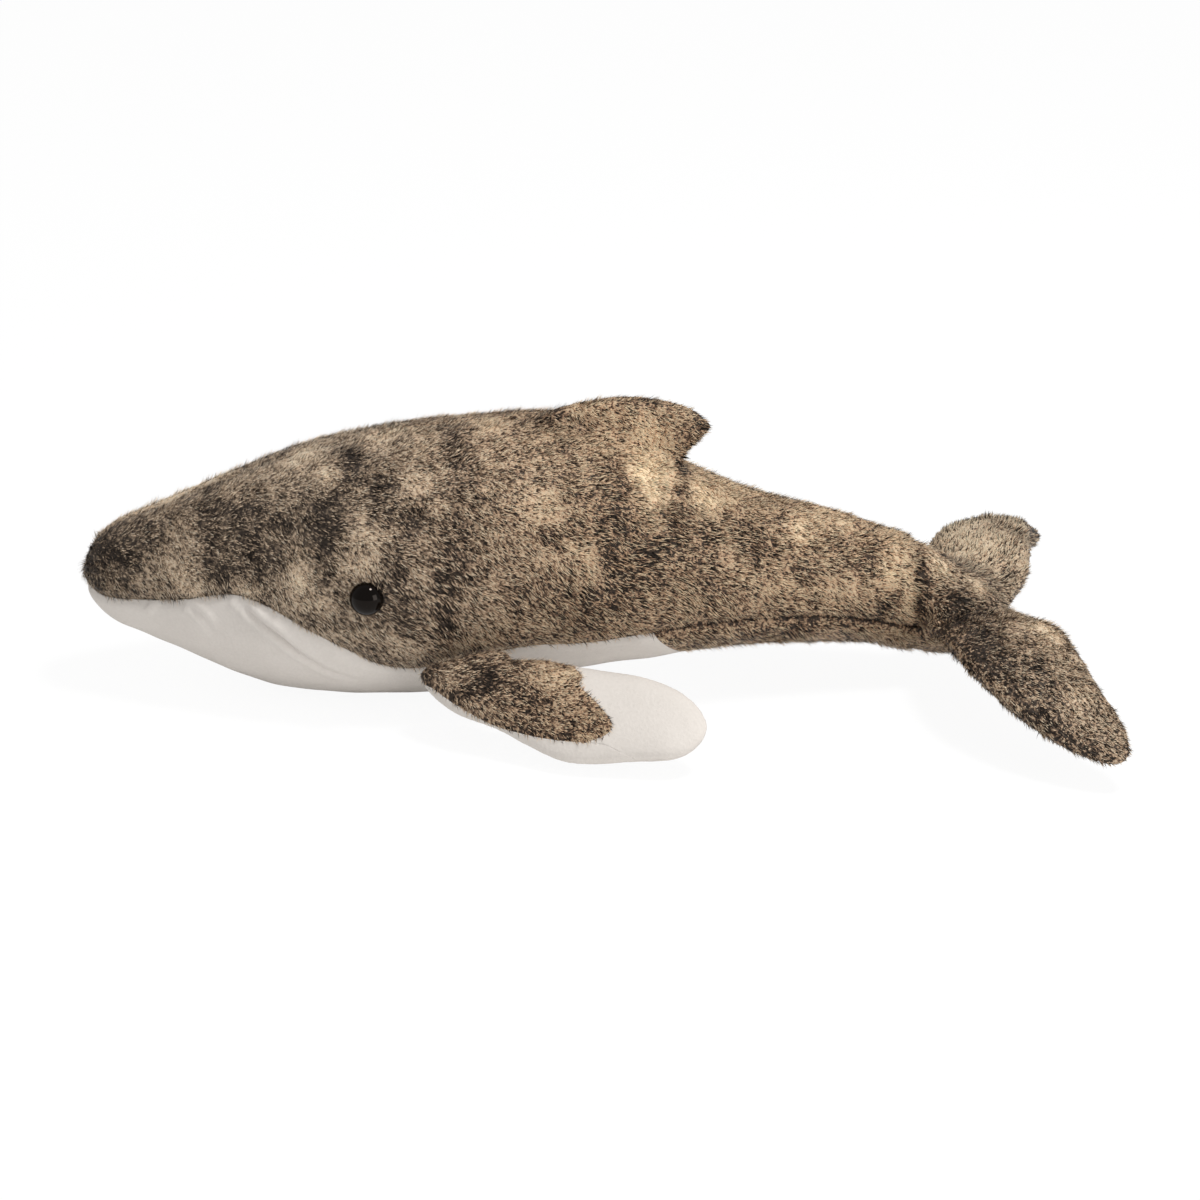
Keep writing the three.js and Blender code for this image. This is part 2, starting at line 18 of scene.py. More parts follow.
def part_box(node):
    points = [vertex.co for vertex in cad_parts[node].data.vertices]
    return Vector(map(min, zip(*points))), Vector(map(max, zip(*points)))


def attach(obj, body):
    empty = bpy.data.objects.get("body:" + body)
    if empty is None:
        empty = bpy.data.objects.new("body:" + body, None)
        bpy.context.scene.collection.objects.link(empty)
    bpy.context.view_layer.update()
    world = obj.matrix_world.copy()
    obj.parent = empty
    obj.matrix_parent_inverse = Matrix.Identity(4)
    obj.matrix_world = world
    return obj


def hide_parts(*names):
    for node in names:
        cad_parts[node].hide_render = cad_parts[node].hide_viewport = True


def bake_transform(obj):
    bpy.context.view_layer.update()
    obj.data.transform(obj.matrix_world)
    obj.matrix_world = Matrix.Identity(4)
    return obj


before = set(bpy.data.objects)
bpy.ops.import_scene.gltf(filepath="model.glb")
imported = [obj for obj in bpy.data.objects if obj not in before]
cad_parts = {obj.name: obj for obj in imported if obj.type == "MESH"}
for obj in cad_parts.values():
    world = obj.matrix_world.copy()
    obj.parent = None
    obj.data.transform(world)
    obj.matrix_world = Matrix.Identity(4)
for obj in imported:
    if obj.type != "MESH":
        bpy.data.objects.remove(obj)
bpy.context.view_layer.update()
bpy.ops.object.select_all(action="DESELECT")
scene = bpy.context.scene
scene.view_settings.view_transform = "Standard"
mm = 0.001
nose_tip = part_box("left_side_panel")[0].x / mm  # stations are counted from the snout
print("packed model:", len(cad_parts), "nodes, snout at x", round(nose_tip, 2), "mm")

# %% [markdown]
# ## Camera
# The whale is seen from its left side and a little from above, through a long lens.

# %% Camera
view_turn, view_rise = math.radians(-0.8), math.radians(23)
view_back = Vector((
    math.sin(view_turn) * math.cos(view_rise),
    -math.cos(view_turn) * math.cos(view_rise),
    math.sin(view_rise),
))
aim = Vector((4.4, 0, 32)) * mm
camera_distance = 1.0
bpy.ops.object.camera_add(location=aim + view_back * camera_distance)
camera = bpy.context.object
camera.rotation_mode = "QUATERNION"
camera.rotation_quaternion = (-view_back).to_track_quat("-Z", "Y")
camera.data.sensor_width = 36
camera.data.lens = 82.4
scene.camera = camera
print("camera at", [round(v, 3) for v in camera.location])


# %% [markdown]
# ## Shader words
# A small class wraps a socket, so that shader maths reads as plain sums. Every other node
# comes from one method, which sets the node's own settings and then its sockets.

# %% Shader helpers
class Wire:
    """An output socket, or a number, that takes part in sums."""

    def __init__(self, finish, socket):
        self.finish, self.socket = finish, socket

    def _sum(self, operation, first, second):
        return self.finish.node("Math", {"operation": operation}, {0: first, 1: second})

    def __add__(self, other):
        return self._sum("ADD", self, other)

    def __sub__(self, other):
        return self._sum("SUBTRACT", self, other)

    def __rsub__(self, other):
        return self._sum("SUBTRACT", other, self)

    def __mul__(self, other):
        return self._sum("MULTIPLY", self, other)

    __radd__ = __add__


class Finish:
    """A material that is built node by node."""

    def __init__(self, name):
        self.material = bpy.data.materials.new(name)
        self.material.use_nodes = True
        self.tree = self.material.node_tree
        self.shader = self.tree.nodes["Principled BSDF"]

    def node(self, kind, settings=None, sockets=None, out=0):
        made = self.tree.nodes.new("ShaderNode" + kind)
        for key, value in (settings or {}).items():
            if key == "stops":
                ramp = made.color_ramp
                while len(ramp.elements) < len(value):
                    ramp.elements.new(0.5)
                for element, (place, colour) in zip(ramp.elements, value):
                    element.position, element.color = place, (*colour, 1)
            else:
                setattr(made, key, value)
        for key, value in (sockets or {}).items():
            self.join(value, made.inputs[key])
        return Wire(self, made.outputs[out])

    def join(self, value, socket):
        if isinstance(value, Wire):
            self.tree.links.new(value.socket, socket)
        elif isinstance(value, tuple) and len(value) == 3 and socket.type == "RGBA":
            socket.default_value = (*value, 1)
        else:
            socket.default_value = value

    def stored(self, name, out=2):
        """What a mesh keeps at each point: output 2 is a number, output 1 a place."""
        return self.node("Attribute", {"attribute_name": name}, out=out)

    def mix(self, share, first, second):
        made = self.node("Mix", {"data_type": "RGBA"}, {0: share}, out=2)
        sockets = made.socket.node.inputs
        self.join(first, sockets[6])
        self.join(second, sockets[7])
        return made

    def set(self, **sockets):
        for key, value in sockets.items():
            self.join(value, self.shader.inputs[key.replace("_", " ")])


def srgb(red, green, blue):
    """A colour as a screen shows it, 0 to 255, as the shader needs it."""
    shares = [v / 255 for v in (red, green, blue)]
    return tuple(v / 12.92 if v <= 0.04045 else ((v + 0.055) / 1.055) ** 2.4 for v in shares)


print("shader helpers ready")

# %% [markdown]
# ## Floor and light
# The floor is plain white. It answers the camera with white of its own, so that it needs
# no more light than the whale does, and it still shows a little of the whale's shadow.
# A high lamp gives the light its direction, and a large low one lights the pale belly.

# %% Floor, backdrop and lamps
floor_side, floor_glow = 6, 0.9  # metres, and the share of its white that is its own
bpy.ops.mesh.primitive_plane_add(size=floor_side)
floor = bpy.context.object
floor.name = "floor"
floor_finish = Finish("white_floor")
floor_finish.set(Base_Color=srgb(248, 248, 248), Roughness=0.9)
seen = floor_finish.node("LightPath", out=0)
mirrored_ray = floor_finish.node("LightPath", out=3)
through_ray = floor_finish.node("LightPath", out=6)
watched = floor_finish.node("Math", {"operation": "MAXIMUM"}, {
    0: floor_finish.node("Math", {"operation": "MAXIMUM"}, {0: seen, 1: mirrored_ray}),
    1: through_ray,
})
glow = floor_finish.node("Emission", {}, {"Color": (1.0, 1.0, 1.0), "Strength": 1.03})
floor_mix = floor_finish.node("MixShader", {}, {0: watched * floor_glow})
painted = Wire(floor_finish, floor_finish.shader.outputs[0])
floor_finish.join(painted, floor_mix.socket.node.inputs[1])
floor_finish.join(glow, floor_mix.socket.node.inputs[2])
floor_finish.join(floor_mix, floor_finish.tree.nodes["Material Output"].inputs[0])
floor.data.materials.append(floor_finish.material)

world = bpy.data.worlds.new("studio")
scene.world = world
world.use_nodes = True
tree = world.node_tree
sky = tree.nodes["Background"]
sky.inputs[0].default_value = (1, 1, 1, 1)
paths = tree.nodes.new("ShaderNodeLightPath")
strengths = tree.nodes.new("ShaderNodeMapRange")
strengths.inputs["To Min"].default_value = 0.5  # as light on the whale
strengths.inputs["To Max"].default_value = 1.0  # as the camera sees it
tree.links.new(paths.outputs["Is Camera Ray"], strengths.inputs["Value"])
tree.links.new(strengths.outputs["Result"], sky.inputs[1])


def lamp(name, place, aim_at, side, power):
    bpy.ops.object.light_add(type="AREA", location=place)
    made = bpy.context.object
    made.name = name
    made.data.size = side
    made.data.energy = power
    made.rotation_mode = "QUATERNION"
    made.rotation_quaternion = (Vector(aim_at) - Vector(place)).to_track_quat("-Z", "Y")


lamp("key_lamp", (0.35, -0.25, 1.2), (0, 0, 0.03), 0.24, 8.5)
lamp("soft_lamp", (0.9, -0.8, 0.34), (0, 0, 0.03), 0.65, 4.2)
print("floor, sky and two lamps")

# %% [markdown]
# ## Pattern tables
# These shares are the whale's outlines: the back, the belly and the width along the body,
# the seam between mottled and white fabric, and the outlines of fin, flipper and fluke.
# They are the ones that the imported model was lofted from, because a new skin has to sit
# where the plain one sat.

# %% Sizes and outlines, in millimetres
body_length, body_height, body_width, nose_length = 342, 105, 96, 17
back_shares = [
    (0, .6), (.03, .612), (.085, .681), (.128, .739), (.213, .845), (.319, .935), (.426, .978),
    (.497, .984), (.554, .943), (.607, .862), (.65, .787), (.702, .714), (.766, .661),
    (.82, .611), (.889, .518), (.912, .478), (.95, .4), (1, .315),
]
belly_shares = [
    (0, .258), (.04, .226), (.085, .168), (.128, .107), (.17, .05), (.213, .006), (.266, -.005),
    (.38, -.005), (.426, .02), (.49, .055), (.554, .09), (.607, .108), (.65, .133),
    (.702, .149), (.766, .154), (.82, .144), (.889, .11), (.912, .1), (.95, .108), (1, .2),
]
width_shares = [
    (0, .161), (.04, .182), (.085, .25), (.128, .3125), (.17, .365), (.213, .417), (.266, .469),
    (.319, .495), (.38, .5), (.439, .49), (.49, .469), (.554, .4375), (.607, .391), (.65, .344),
    (.702, .286), (.766, .234), (.82, .198), (.889, .156), (.95, .12), (1, .073),
]
side_seam_shares = [
    (0, .4), (.033, .377), (.108, .414), (.17, .462), (.204, .44), (.25, .363), (.291, .288),
    (.318, .233), (.357, .211), (.41, .25), (.47, .29), (.535, .287), (.593, .305), (.652, .319),
    (.721, .317), (.804, .298), (.855, .261), (.905, .231), (1, .22),
]
belly_end_shares = [(0, .7), (.14, .645), (.23, .618), (.34, .595)]  # height, then length
fin_length, fin_height, fin_thickness, fin_front, fin_base = 73, 29, 15, 156, 82.5
fin_shares = [
    (0, .36), (.1, .73), (.24, .88), (.35, .94), (.48, .985), (.6, .985), (.73, .94), (.82, .9),
    (.9, .83), (.96, .73), (.99, .58), (.98, .45), (.93, .31), (.885, .2), (.86, .08), (.85, -.1),
]
fin_swell = [(0, 1), (.5, .85), (.85, .6), (1, .5)]
flipper_length, flipper_reach, flipper_thickness = 98, 50, 15
flipper_root_width, flipper_root_thickness = 34, 10.5
flipper_station, flipper_root_height, flipper_droop, flipper_rake = 139.5, 29, 43, 12.5
seam_gap = 0.3
flipper_shares = [
    (0, 0), (.02, .13), (.11, .33), (.245, .51), (.33, .65), (.445, .83), (.55, .9), (.69, .94),
    (.86, .985), (.945, .93), (.99, .8), (.97, .63), (.905, .47), (.81, .34), (.67, .22),
    (.555, .13), (.46, .05), (.35, 0),
]
flipper_swell = [(0, .7), (.25, .85), (.6, 1), (.85, .8), (1, .6)]
fluke_half_span, fluke_depth, fluke_thickness, fluke_droop, fluke_root = 98, 64, 15, 17, 28
fold_station, stock_end = 304, 334
lobe_shares = [
    (.04, .06), (0, .2), (.03, .4), (.1, .56), (.2, .69), (.34, .8), (.52, .9), (.72, .97),
    (.86, 1), (.945, .98), (.97, .91), (.925, .82), (.865, .74), (.81, .65), (.765, .54),
    (.74, .4), (.64, .22), (.47, .06),
]
far_lobe_shares = [*lobe_shares[:-2], (.7, .22), (.55, .06)]  # stuffed fuller at its root
arch_shares = [(0, 0), (.15, .05), (.4, .32), (.63, .2), (.82, -.32), (1, -.95)]
lobe_swell = [(0, 1), (.4, .95), (.75, .8), (.9, .6), (1, .5)]
eye_radius, eye_rise, eye_rim, eye_station, eye_height = 6, 5, 0.9, 106, 52.5
print("whale", body_length, "mm long,", body_width, "mm wide,", body_height, "mm high")

# %% [markdown]
# ## Smooth lines
# A smooth line runs through the points of each table, with no overshoot between two
# points that are level. The body's ellipse at any station follows from three of them.


# %% Smooth lines and body sections
def line_at(table, place):
    """Value of the smooth line through a table of (place, value) points."""
    xs, ys = np.array(table, float).T
    last = len(xs) - 1
    place = np.clip(np.asarray(place, float), xs[0], xs[-1])
    order = np.arange(last + 1)
    before, after = np.maximum(order - 1, 0), np.minimum(order + 1, last)
    slopes = (ys[after] - ys[before]) / (xs[after] - xs[before])
    i = np.clip(np.searchsorted(xs, place, side="right") - 1, 0, last - 1)
    width = xs[i + 1] - xs[i]
    t = (place - xs[i]) / width
    rise = 3 * t ** 2 - 2 * t ** 3
    leave = t * (1 - t) ** 2 * width * slopes[i]
    arrive = t ** 2 * (t - 1) * width * slopes[i + 1]
    return ys[i] + (ys[i + 1] - ys[i]) * rise + leave + arrive


def section(station, inset=0.0):
    """Middle height, half height and half width of the body at a station."""
    share = np.minimum(np.asarray(station, float) / body_length, 1)
    ahead = np.clip((station - inset) / (nose_length - inset), 0, 1)
    rounding = np.sqrt(1 - (1 - ahead) ** 2)
    top = body_height * line_at(back_shares, share)
    bottom = body_height * line_at(belly_shares, share)
    half_width = (body_width * line_at(width_shares, share) - inset) * rounding
    return (top + bottom) / 2, ((top - bottom) / 2 - inset) * rounding, half_width


def seam_height(station):
    return body_height * line_at(side_seam_shares, np.asarray(station, float) / body_length)


def lobe_lift(across):
    return fluke_droop * line_at(arch_shares, np.abs(across) / fluke_half_span)


print("body at the eye:", [round(float(v), 1) for v in section(eye_station)])


# %% [markdown]
# ## Stuffed forms
# A stuffed toy has no hard edge anywhere. So the body, the fin and the flukes are lofted
# as closed forms a pile's depth inside the finished surface, joined by a fine voxel
# remesh, and smoothed until the joins are soft fillets, as filling makes them.

# %% Lofts and blades
pile_depth = 1.1  # the fabric's base lies this far below the tips of the brushed pile
ring_points = 96


def loft(rings, start, end):
    """Points and faces of a closed surface through rings, with a tip at each end."""
    count = len(rings[0])
    points = np.concatenate([*rings, [start], [end]])
    first, last = len(points) - 2, len(points) - 1
    faces = []
    for i in range(len(rings) - 1):
        for j in range(count):
            a, b = i * count + j, i * count + (j + 1) % count
            faces.append((a, b, b + count, a + count))
    base = (len(rings) - 1) * count
    for j in range(count):
        faces.append((first, (j + 1) % count, j))
        faces.append((last, base + j, base + (j + 1) % count))
    return points, faces


def body_loft(inset):
    leans = np.cos(np.linspace(0, math.pi / 2, 13)[1:])
    stations = [*(inset + (nose_length - inset) * (1 - leans))]
    stations += [*np.linspace(nose_length, stock_end, 117)[1:]]
    turns = np.linspace(0, 2 * math.pi, ring_points, endpoint=False)
    rings = []
    for station in stations:
        middle, half_height, half_width = section(station, inset)
        rings.append(np.stack([
            np.full(ring_points, station),
            -half_width * np.sin(turns),
            middle + half_height * np.cos(turns),
        ], 1))
    nose = (inset, 0, section(inset, inset)[0])
    return loft(rings, nose, rings[-1].mean(0))


def smooth_outline(shares, length, width, count=400):
    """Even points along a smooth open outline, as a designer's spline gives them."""
    points = np.array(shares, float) * (length, width)
    padded = np.vstack([2 * points[0] - points[1], points, 2 * points[-1] - points[-2]])
    steps = np.linspace(0, 1, 24, endpoint=False)[:, None]
    parts = []
    for a, b, c, d in zip(padded, padded[1:], padded[2:], padded[3:]):
        parts.append(0.5 * (2 * b + (c - a) * steps + (2 * a - 5 * b + 4 * c - d) * steps ** 2
                            + (3 * b - a - 3 * c + d) * steps ** 3))
    line = np.vstack([*parts, points[-1:]])
    walked = np.concatenate([[0], np.cumsum(np.linalg.norm(np.diff(line, axis=0), axis=1))])
    even = np.linspace(0, walked[-1], count)
    return np.stack([np.interp(even, walked, line[:, k]) for k in (0, 1)], 1)


def blade(shares, length, width, thickness, swell, place, inset, sag=1, ribs=40, around=40):
    """A stuffed blade: ribs join the two edges of an outline, and each swells to an ellipse."""
    line = smooth_outline(shares, length, width)
    tangent = np.gradient(line, axis=0)
    tangent /= np.linalg.norm(tangent, axis=1)[:, None]
    line = line + np.stack([tangent[:, 1], -tangent[:, 0]], 1) * inset
    at = np.linspace(0, 1, len(line))

    def edge(t):
        return np.array([np.interp(t, at, line[:, k]) for k in (0, 1)])

    turns = np.linspace(0, 2 * math.pi, around, endpoint=False)
    rings = []
    for i in range(ribs):
        share = math.sin(math.pi / 2 * i / ribs)
        lead, trail = edge(share / 2), edge(1 - share / 2)
        swelling = thickness / 2 * float(line_at(swell, share)) * math.sqrt(1 - share ** 8)
        half = max(swelling - inset, seam_gap)
        spots = lead + (trail - lead) * ((1 + np.cos(turns)) / 2)[:, None]
        rises = half * np.sin(turns) * np.where(np.sin(turns) < 0, sag, 1)
        rings.append(np.array([place(x, y, rise) for (x, y), rise in zip(spots, rises)]))
    tip = place(*edge(0.5), 0)
    return loft(rings, rings[0].mean(0), tip)


def bulb(centre, halves, roundness=1, count=40):
    """A stuffed bulb, longest along the body; below 1, its roundness makes the ends fuller."""
    centre, (half, wide, high) = np.array(centre, float), halves
    turns = np.linspace(0, 2 * math.pi, count, endpoint=False)
    rings = []
    for lean in np.linspace(0, math.pi, 18)[1:-1]:
        r = math.sin(lean) ** roundness
        rings.append(centre + np.stack([np.full(count, -half * math.cos(lean)),
                                        wide * r * np.cos(turns), high * r * np.sin(turns)], 1))
    return loft(rings, centre - (half, 0, 0), centre + (half, 0, 0))


def add_object(name, mesh):
    made = bpy.data.objects.new(name, mesh)
    scene.collection.objects.link(made)
    return made


def face_outward(made):
    bpy.context.view_layer.objects.active = made
    made.select_set(True)
    bpy.ops.object.mode_set(mode="EDIT")
    bpy.ops.mesh.select_all(action="SELECT")
    bpy.ops.mesh.normals_make_consistent(inside=False)
    bpy.ops.object.mode_set(mode="OBJECT")


def apply_modifier(made, kind, **settings):
    """Adds a modifier, sets it, and makes its result the object's mesh."""
    bpy.context.view_layer.objects.active = made
    made.select_set(True)
    bpy.ops.object.modifier_add(type=kind)
    modifier = made.modifiers[-1]
    for key, value in settings.items():
        setattr(modifier, key, value)
    bpy.ops.object.modifier_apply(modifier=modifier.name)
    made.select_set(False)


def form(name, *lofts):
    """One object from several closed forms, in millimetres turned to metres."""
    points, faces, start = [], [], 0
    for shape_points, shape_faces in lofts:
        points.append(shape_points)
        faces += [tuple(k + start for k in face) for face in shape_faces]
        start += len(shape_points)
    mesh = bpy.data.meshes.new(name)
    mesh.from_pydata((np.vstack(points) * mm).tolist(), [], faces)
    made = add_object(name, mesh)
    face_outward(made)
    return made


def soften(made, voxel, rounds):
    """Joins the closed forms of an object and rounds the joins."""
    apply_modifier(made, "REMESH", mode="VOXEL", voxel_size=voxel * mm)
    apply_modifier(made, "SMOOTH", factor=0.5, iterations=rounds)


def fin_place(along, up, out):
    return fin_front + along, out, fin_base + up


def left_lobe_place(along, across, up):
    return fold_station + along, -across, fluke_root + lobe_lift(across) + up


far_share, far_shift = 0.88, 5  # the right lobe is shorter along the body, and set back


def far_lift(along, across):
    """The right lobe is stuffed a little higher than the left one, most of all behind."""
    return (2.4 * math.sin(math.pi * min(max(across / 90, 0), 1))
            + 0.08 * (along - 30) * min(across / 30, 1))


def right_lobe_place(along, across, up):
    x, y, z = left_lobe_place(far_share * along + far_shift, across, up)
    return x, -y, z + far_lift(along, across)


lobe_sag = 1.45  # the underside of a lobe is rounder than its top
shoulder_place, shoulder_halves = (318, 11, 34.5), (14, 12, 6.5)  # between stock and lobe
skin = form(
    "skin",
    body_loft(pile_depth),
    blade(fin_shares, fin_length, fin_height, fin_thickness, fin_swell, fin_place, pile_depth),
    blade(lobe_shares, fluke_depth, fluke_half_span, fluke_thickness, lobe_swell,
          left_lobe_place, pile_depth, lobe_sag),
    blade(far_lobe_shares, fluke_depth, fluke_half_span, fluke_thickness, lobe_swell,
          right_lobe_place, pile_depth, lobe_sag),
    *(bulb((shoulder_place[0], hand * shoulder_place[1], shoulder_place[2]), shoulder_halves)
      for hand in (1, -1)),
)
soften(skin, 1.4, 8)
print("body, fin and flukes in one skin:", len(skin.data.vertices), "points")

# %% [markdown]
# ## Seams, pleats and small lumps
# Fabric is drawn in where it is sewn, and swells between. A seam is a shallow valley, a
# throat pleat is a narrower one, and the filling leaves slow lumps everywhere.

# %% Shape the skin
seam_depth, seam_width = 1.6, 1.8
crease_depth = 1.5
rest_height = 0.05  # the belly is pressed flat on what it lies on
pleat_depth, pleat_width = 2.4, 1.0
pleats = [  # station, degrees round from the top
    [(26, 99), (29.3, 105)],
    [(39, 91), (42.8, 95), (45.9, 99), (48, 104), (51, 111)],
    [(60, 86), (63.2, 91), (66.4, 95), (70.3, 99), (74, 103), (80.4, 111), (85.4, 117),
     (90.3, 123), (96.8, 128), (103, 132)],
]
slack_fold = [(213, 15), (211.5, 33), (208.5, 47), (204.5, 58)]  # under the fin's notch


def coordinates(mesh):
    flat = np.empty(len(mesh.vertices) * 3)
    mesh.vertices.foreach_get("co", flat)
    return flat.reshape(-1, 3) / mm


def normals(mesh):
    flat = np.empty(len(mesh.vertices) * 3)
    mesh.vertices.foreach_get("normal", flat)
    return flat.reshape(-1, 3)


def place_points(mesh, points):
    mesh.vertices.foreach_set("co", (points * mm).ravel())
    mesh.update()


def lumps(points, size, seed):
    """Slow unevenness, -1 to 1, over points."""
    shift = Vector((seed * 7.3, seed * 3.1, seed * 5.7))
    return np.array([noise.noise(Vector(p) / size + shift) for p in points])


def valley(distance, width):
    return np.exp(-(distance / width) ** 2)


def line_on_body(course):
    """A smooth line over the left side, through (station, degrees round from the top)."""
    along, knots = np.linspace(0, 1, 80), np.linspace(0, 1, len(course))
    stations, turns = np.array(course, float).T
    at = line_at(np.stack([knots, stations], 1), along)
    turn = np.radians(line_at(np.stack([knots, turns], 1), along))
    mid, high, wide = section(at)
    return along, np.stack([at, -wide * np.sin(turn), mid + high * np.cos(turn)], 1)


def apart_from(points, line):
    """How far points lie from a line, and which of its points is the closest."""
    near = np.where((points > line.min(0) - 8).all(1) & (points < line.max(0) + 8).all(1))[0]
    apart = np.linalg.norm(points[near, None] - line[None], axis=2)
    return near, apart.min(1), apart.argmin(1)


def pleat_groove(points, width):
    """How far points lie inside a throat pleat, with a swelling beside it."""
    found = np.zeros(len(points))
    for pleat in pleats:
        along, line = line_on_body(pleat)
        fade = np.clip(along * 8, 0.5, 1) * np.clip((1 - along) * 2.2, 0, 1)
        for hand in (1, -1):
            near, distance, closest = apart_from(points, line * (1, hand, 1))
            groove = valley(distance, width) - 0.35 * valley(distance - 3, 1.6)
            found[near] += groove * fade[closest]
    return found


points, facing = coordinates(skin.data), normals(skin.data)
x, y, z = points.T
ahead_of_fold = x < fold_station
middle, half_height, half_width = section(np.clip(x, 1, body_length))
drawn_in = np.zeros(len(points))
side_slope = np.gradient(seam_height(np.arange(body_length + 1)))
slope = np.interp(x, np.arange(body_length + 1), side_slope)
side_distance = np.abs(z - seam_height(x)) / np.sqrt(1 + slope ** 2)
tail_share = np.clip((x - 190) / 30, 0, 1)
side_depth = seam_depth * (1 + 0.5 * tail_share)
drawn_in += side_depth * valley(side_distance, seam_width) * ahead_of_fold
top_side = z > seam_height(x) + 4
drawn_in += 0.8 * seam_depth * valley(np.abs(y), 1.8) * top_side * ahead_of_fold
flank = np.clip(np.abs(y) / half_width, 0.25, 1)
drawn_in += crease_depth * flank * valley(np.abs(x - fold_station + 2), 2.2) * (np.abs(y) < 24)
drawn_in -= 0.5 * valley(np.abs(x - fold_station + 8), 5) * (np.abs(y) < 24)
along, line = line_on_body(slack_fold)
near, distance, closest = apart_from(points, line)
drawn_in[near] += 1.3 * valley(distance, 1.8) * np.sin(math.pi * along[closest]) ** 0.5
drawn_in[near] -= 0.5 * valley(distance - 4, 3)
drawn_in -= 0.8 * lumps(points, 30, 1) + 0.4 * lumps(points, 12, 2)
shaped = points - facing * drawn_in[:, None]
shaped[:, 2] = np.maximum(shaped[:, 2], rest_height)
place_points(skin.data, shaped)
print("seams drawn in by up to", round(float(drawn_in.max()), 2), "mm")


# %% [markdown]
# ## Cutting the panels
# The skin is cut along the real seams. A seam that rises and falls along the body is cut
# straight after the skin is sheared so that the seam lies level, and then sheared back.

# %% Cut and part the skin
shell_thickness = 1.0


def shear_cut(bm, faces, axis, level):
    """Cuts some faces where their place on an axis equals level(co)."""
    for v in bm.verts:
        v.co[axis] -= level(v.co)
    plane = [0, 0, 0]
    plane[axis] = 1
    geometry = set(faces)
    for f in faces:
        geometry.update(f.edges)
        geometry.update(f.verts)
    bmesh.ops.bisect_plane(bm, geom=list(geometry), dist=1e-8, plane_co=(0, 0, 0), plane_no=plane)
    for v in bm.verts:
        v.co[axis] += level(v.co)


def table_reader(function, low, high, count=1200):
    """A fast look-up of a smooth line, for one value at a time."""
    places = np.linspace(low, high, count)
    values = function(places)
    step = (high - low) / (count - 1)

    def read(place):
        at = min(max((place - low) / step, 0), count - 1.001)
        i = int(at)
        return float(values[i] + (values[i + 1] - values[i]) * (at - i))

    return read


side_line = table_reader(seam_height, 0, body_length)
end_line = table_reader(lambda h: body_length * line_at(belly_end_shares, h / body_height), 0, 40)
edge_line = table_reader(lambda a: fluke_root + lobe_lift(a), 0, fluke_half_span)
wrap_shares = [
    (0, -.8), (.15, -.7), (.3, 0), (.45, .55), (.56, .8), (.8, 1), (.9, .7), (.97, .2), (1, .1),
]
edge_wrap, edge_wrap_reach = 4.3, 16
wrap_line = table_reader(
    lambda a: edge_wrap * line_at(wrap_shares, a / fluke_half_span), 0, fluke_half_span)
lead_shares = sorted((across, along) for along, across in lobe_shares[:9])
lead_line = table_reader(
    lambda a: fluke_depth * line_at(lead_shares, a / fluke_half_span), 0, fluke_half_span)


def side_level(co):
    """Height of the seam along the side."""
    return side_line(co[0] / mm) * mm


def end_level(co):
    """How far back the white belly reaches."""
    return end_line(co[2] / mm) * mm


def edge_level(co):
    """Height of the flukes' edge seam, which rides up over the leading edge."""
    across = abs(co[1]) / mm
    lead = fold_station + lead_line(across)
    wrap = wrap_line(across) * min(max(1 - (co[0] / mm - lead) / edge_wrap_reach, 0), 1)
    along = (co[0] / mm - fold_station - far_shift) / far_share
    return (edge_line(across) + wrap + (far_lift(along, across) if co[1] > 0 else 0)) * mm


def ahead(f):
    return f.calc_center_median().x < fold_station * mm


def above(f):
    """Whether a face lies above the seam along the side, or round the flukes."""
    centre = f.calc_center_median()
    return centre.z > (side_level(centre) if ahead(f) else edge_level(centre))


bm = bmesh.new()
bm.from_mesh(skin.data)
shear_cut(bm, bm.faces[:], 0, lambda co: fold_station * mm)
front = [f for f in bm.faces if ahead(f)]
back = [f for f in bm.faces if not ahead(f)]
shear_cut(bm, front, 2, side_level)
shear_cut(bm, back, 2, edge_level)
bm.faces.ensure_lookup_table()
uppers = [f for f in bm.faces if above(f)]
shear_cut(bm, uppers, 1, lambda co: 0)
lowers = [f for f in bm.faces if not above(f) and ahead(f)]
shear_cut(bm, lowers, 0, end_level)


def panel_of(f):
    centre = f.calc_center_median()
    side = "left" if centre.y < 0 else "right"
    if not ahead(f):
        return f"{side}_fluke_top" if above(f) else "fluke_underside"
    if above(f):
        return f"{side}_side"
    return "throat_belly" if centre.x < end_level(centre) else "tail_underside"


def sheet_from(name, faces):
    """A new object from some faces, with its place along the body set to the frame's."""
    verts = {}
    for f in faces:
        for v in f.verts:
            verts.setdefault(v.index, (len(verts), v.co.copy()))
    mesh = bpy.data.meshes.new(name)
    spots = np.array([co for _, co in verts.values()])
    spots[:, 0] += nose_tip * mm
    mesh.from_pydata(spots.tolist(), [], [[verts[v.index][0] for v in f.verts] for f in faces])
    mesh.shade_smooth()
    return add_object(name, mesh)


bm.verts.index_update()
groups = {}
for f in bm.faces:
    groups.setdefault(panel_of(f), []).append(f)
sheets = {name: sheet_from(name, faces) for name, faces in sorted(groups.items())}
bm.free()
bpy.data.objects.remove(skin)
print({name: len(sheet.data.polygons) for name, sheet in sheets.items()})

# %% [markdown]
# ## Throat pleats
# The pleats are narrower than the skin's own mesh can show. So the throat panel is divided
# once more before they are pressed in, each with a slight swelling beside it.

# %% Press the pleats into the throat
throat = sheets["throat_belly"]
apply_modifier(throat, "SUBSURF", levels=1, render_levels=1)
points, facing = coordinates(throat.data), normals(throat.data)
pressed = pleat_depth * pleat_groove(points - (nose_tip, 0, 0), pleat_width)
place_points(throat.data, points - facing * pressed[:, None])
deepest = round(float(pressed.max()), 2)
print("throat:", len(throat.data.polygons), "faces, pleats", deepest, "mm deep")

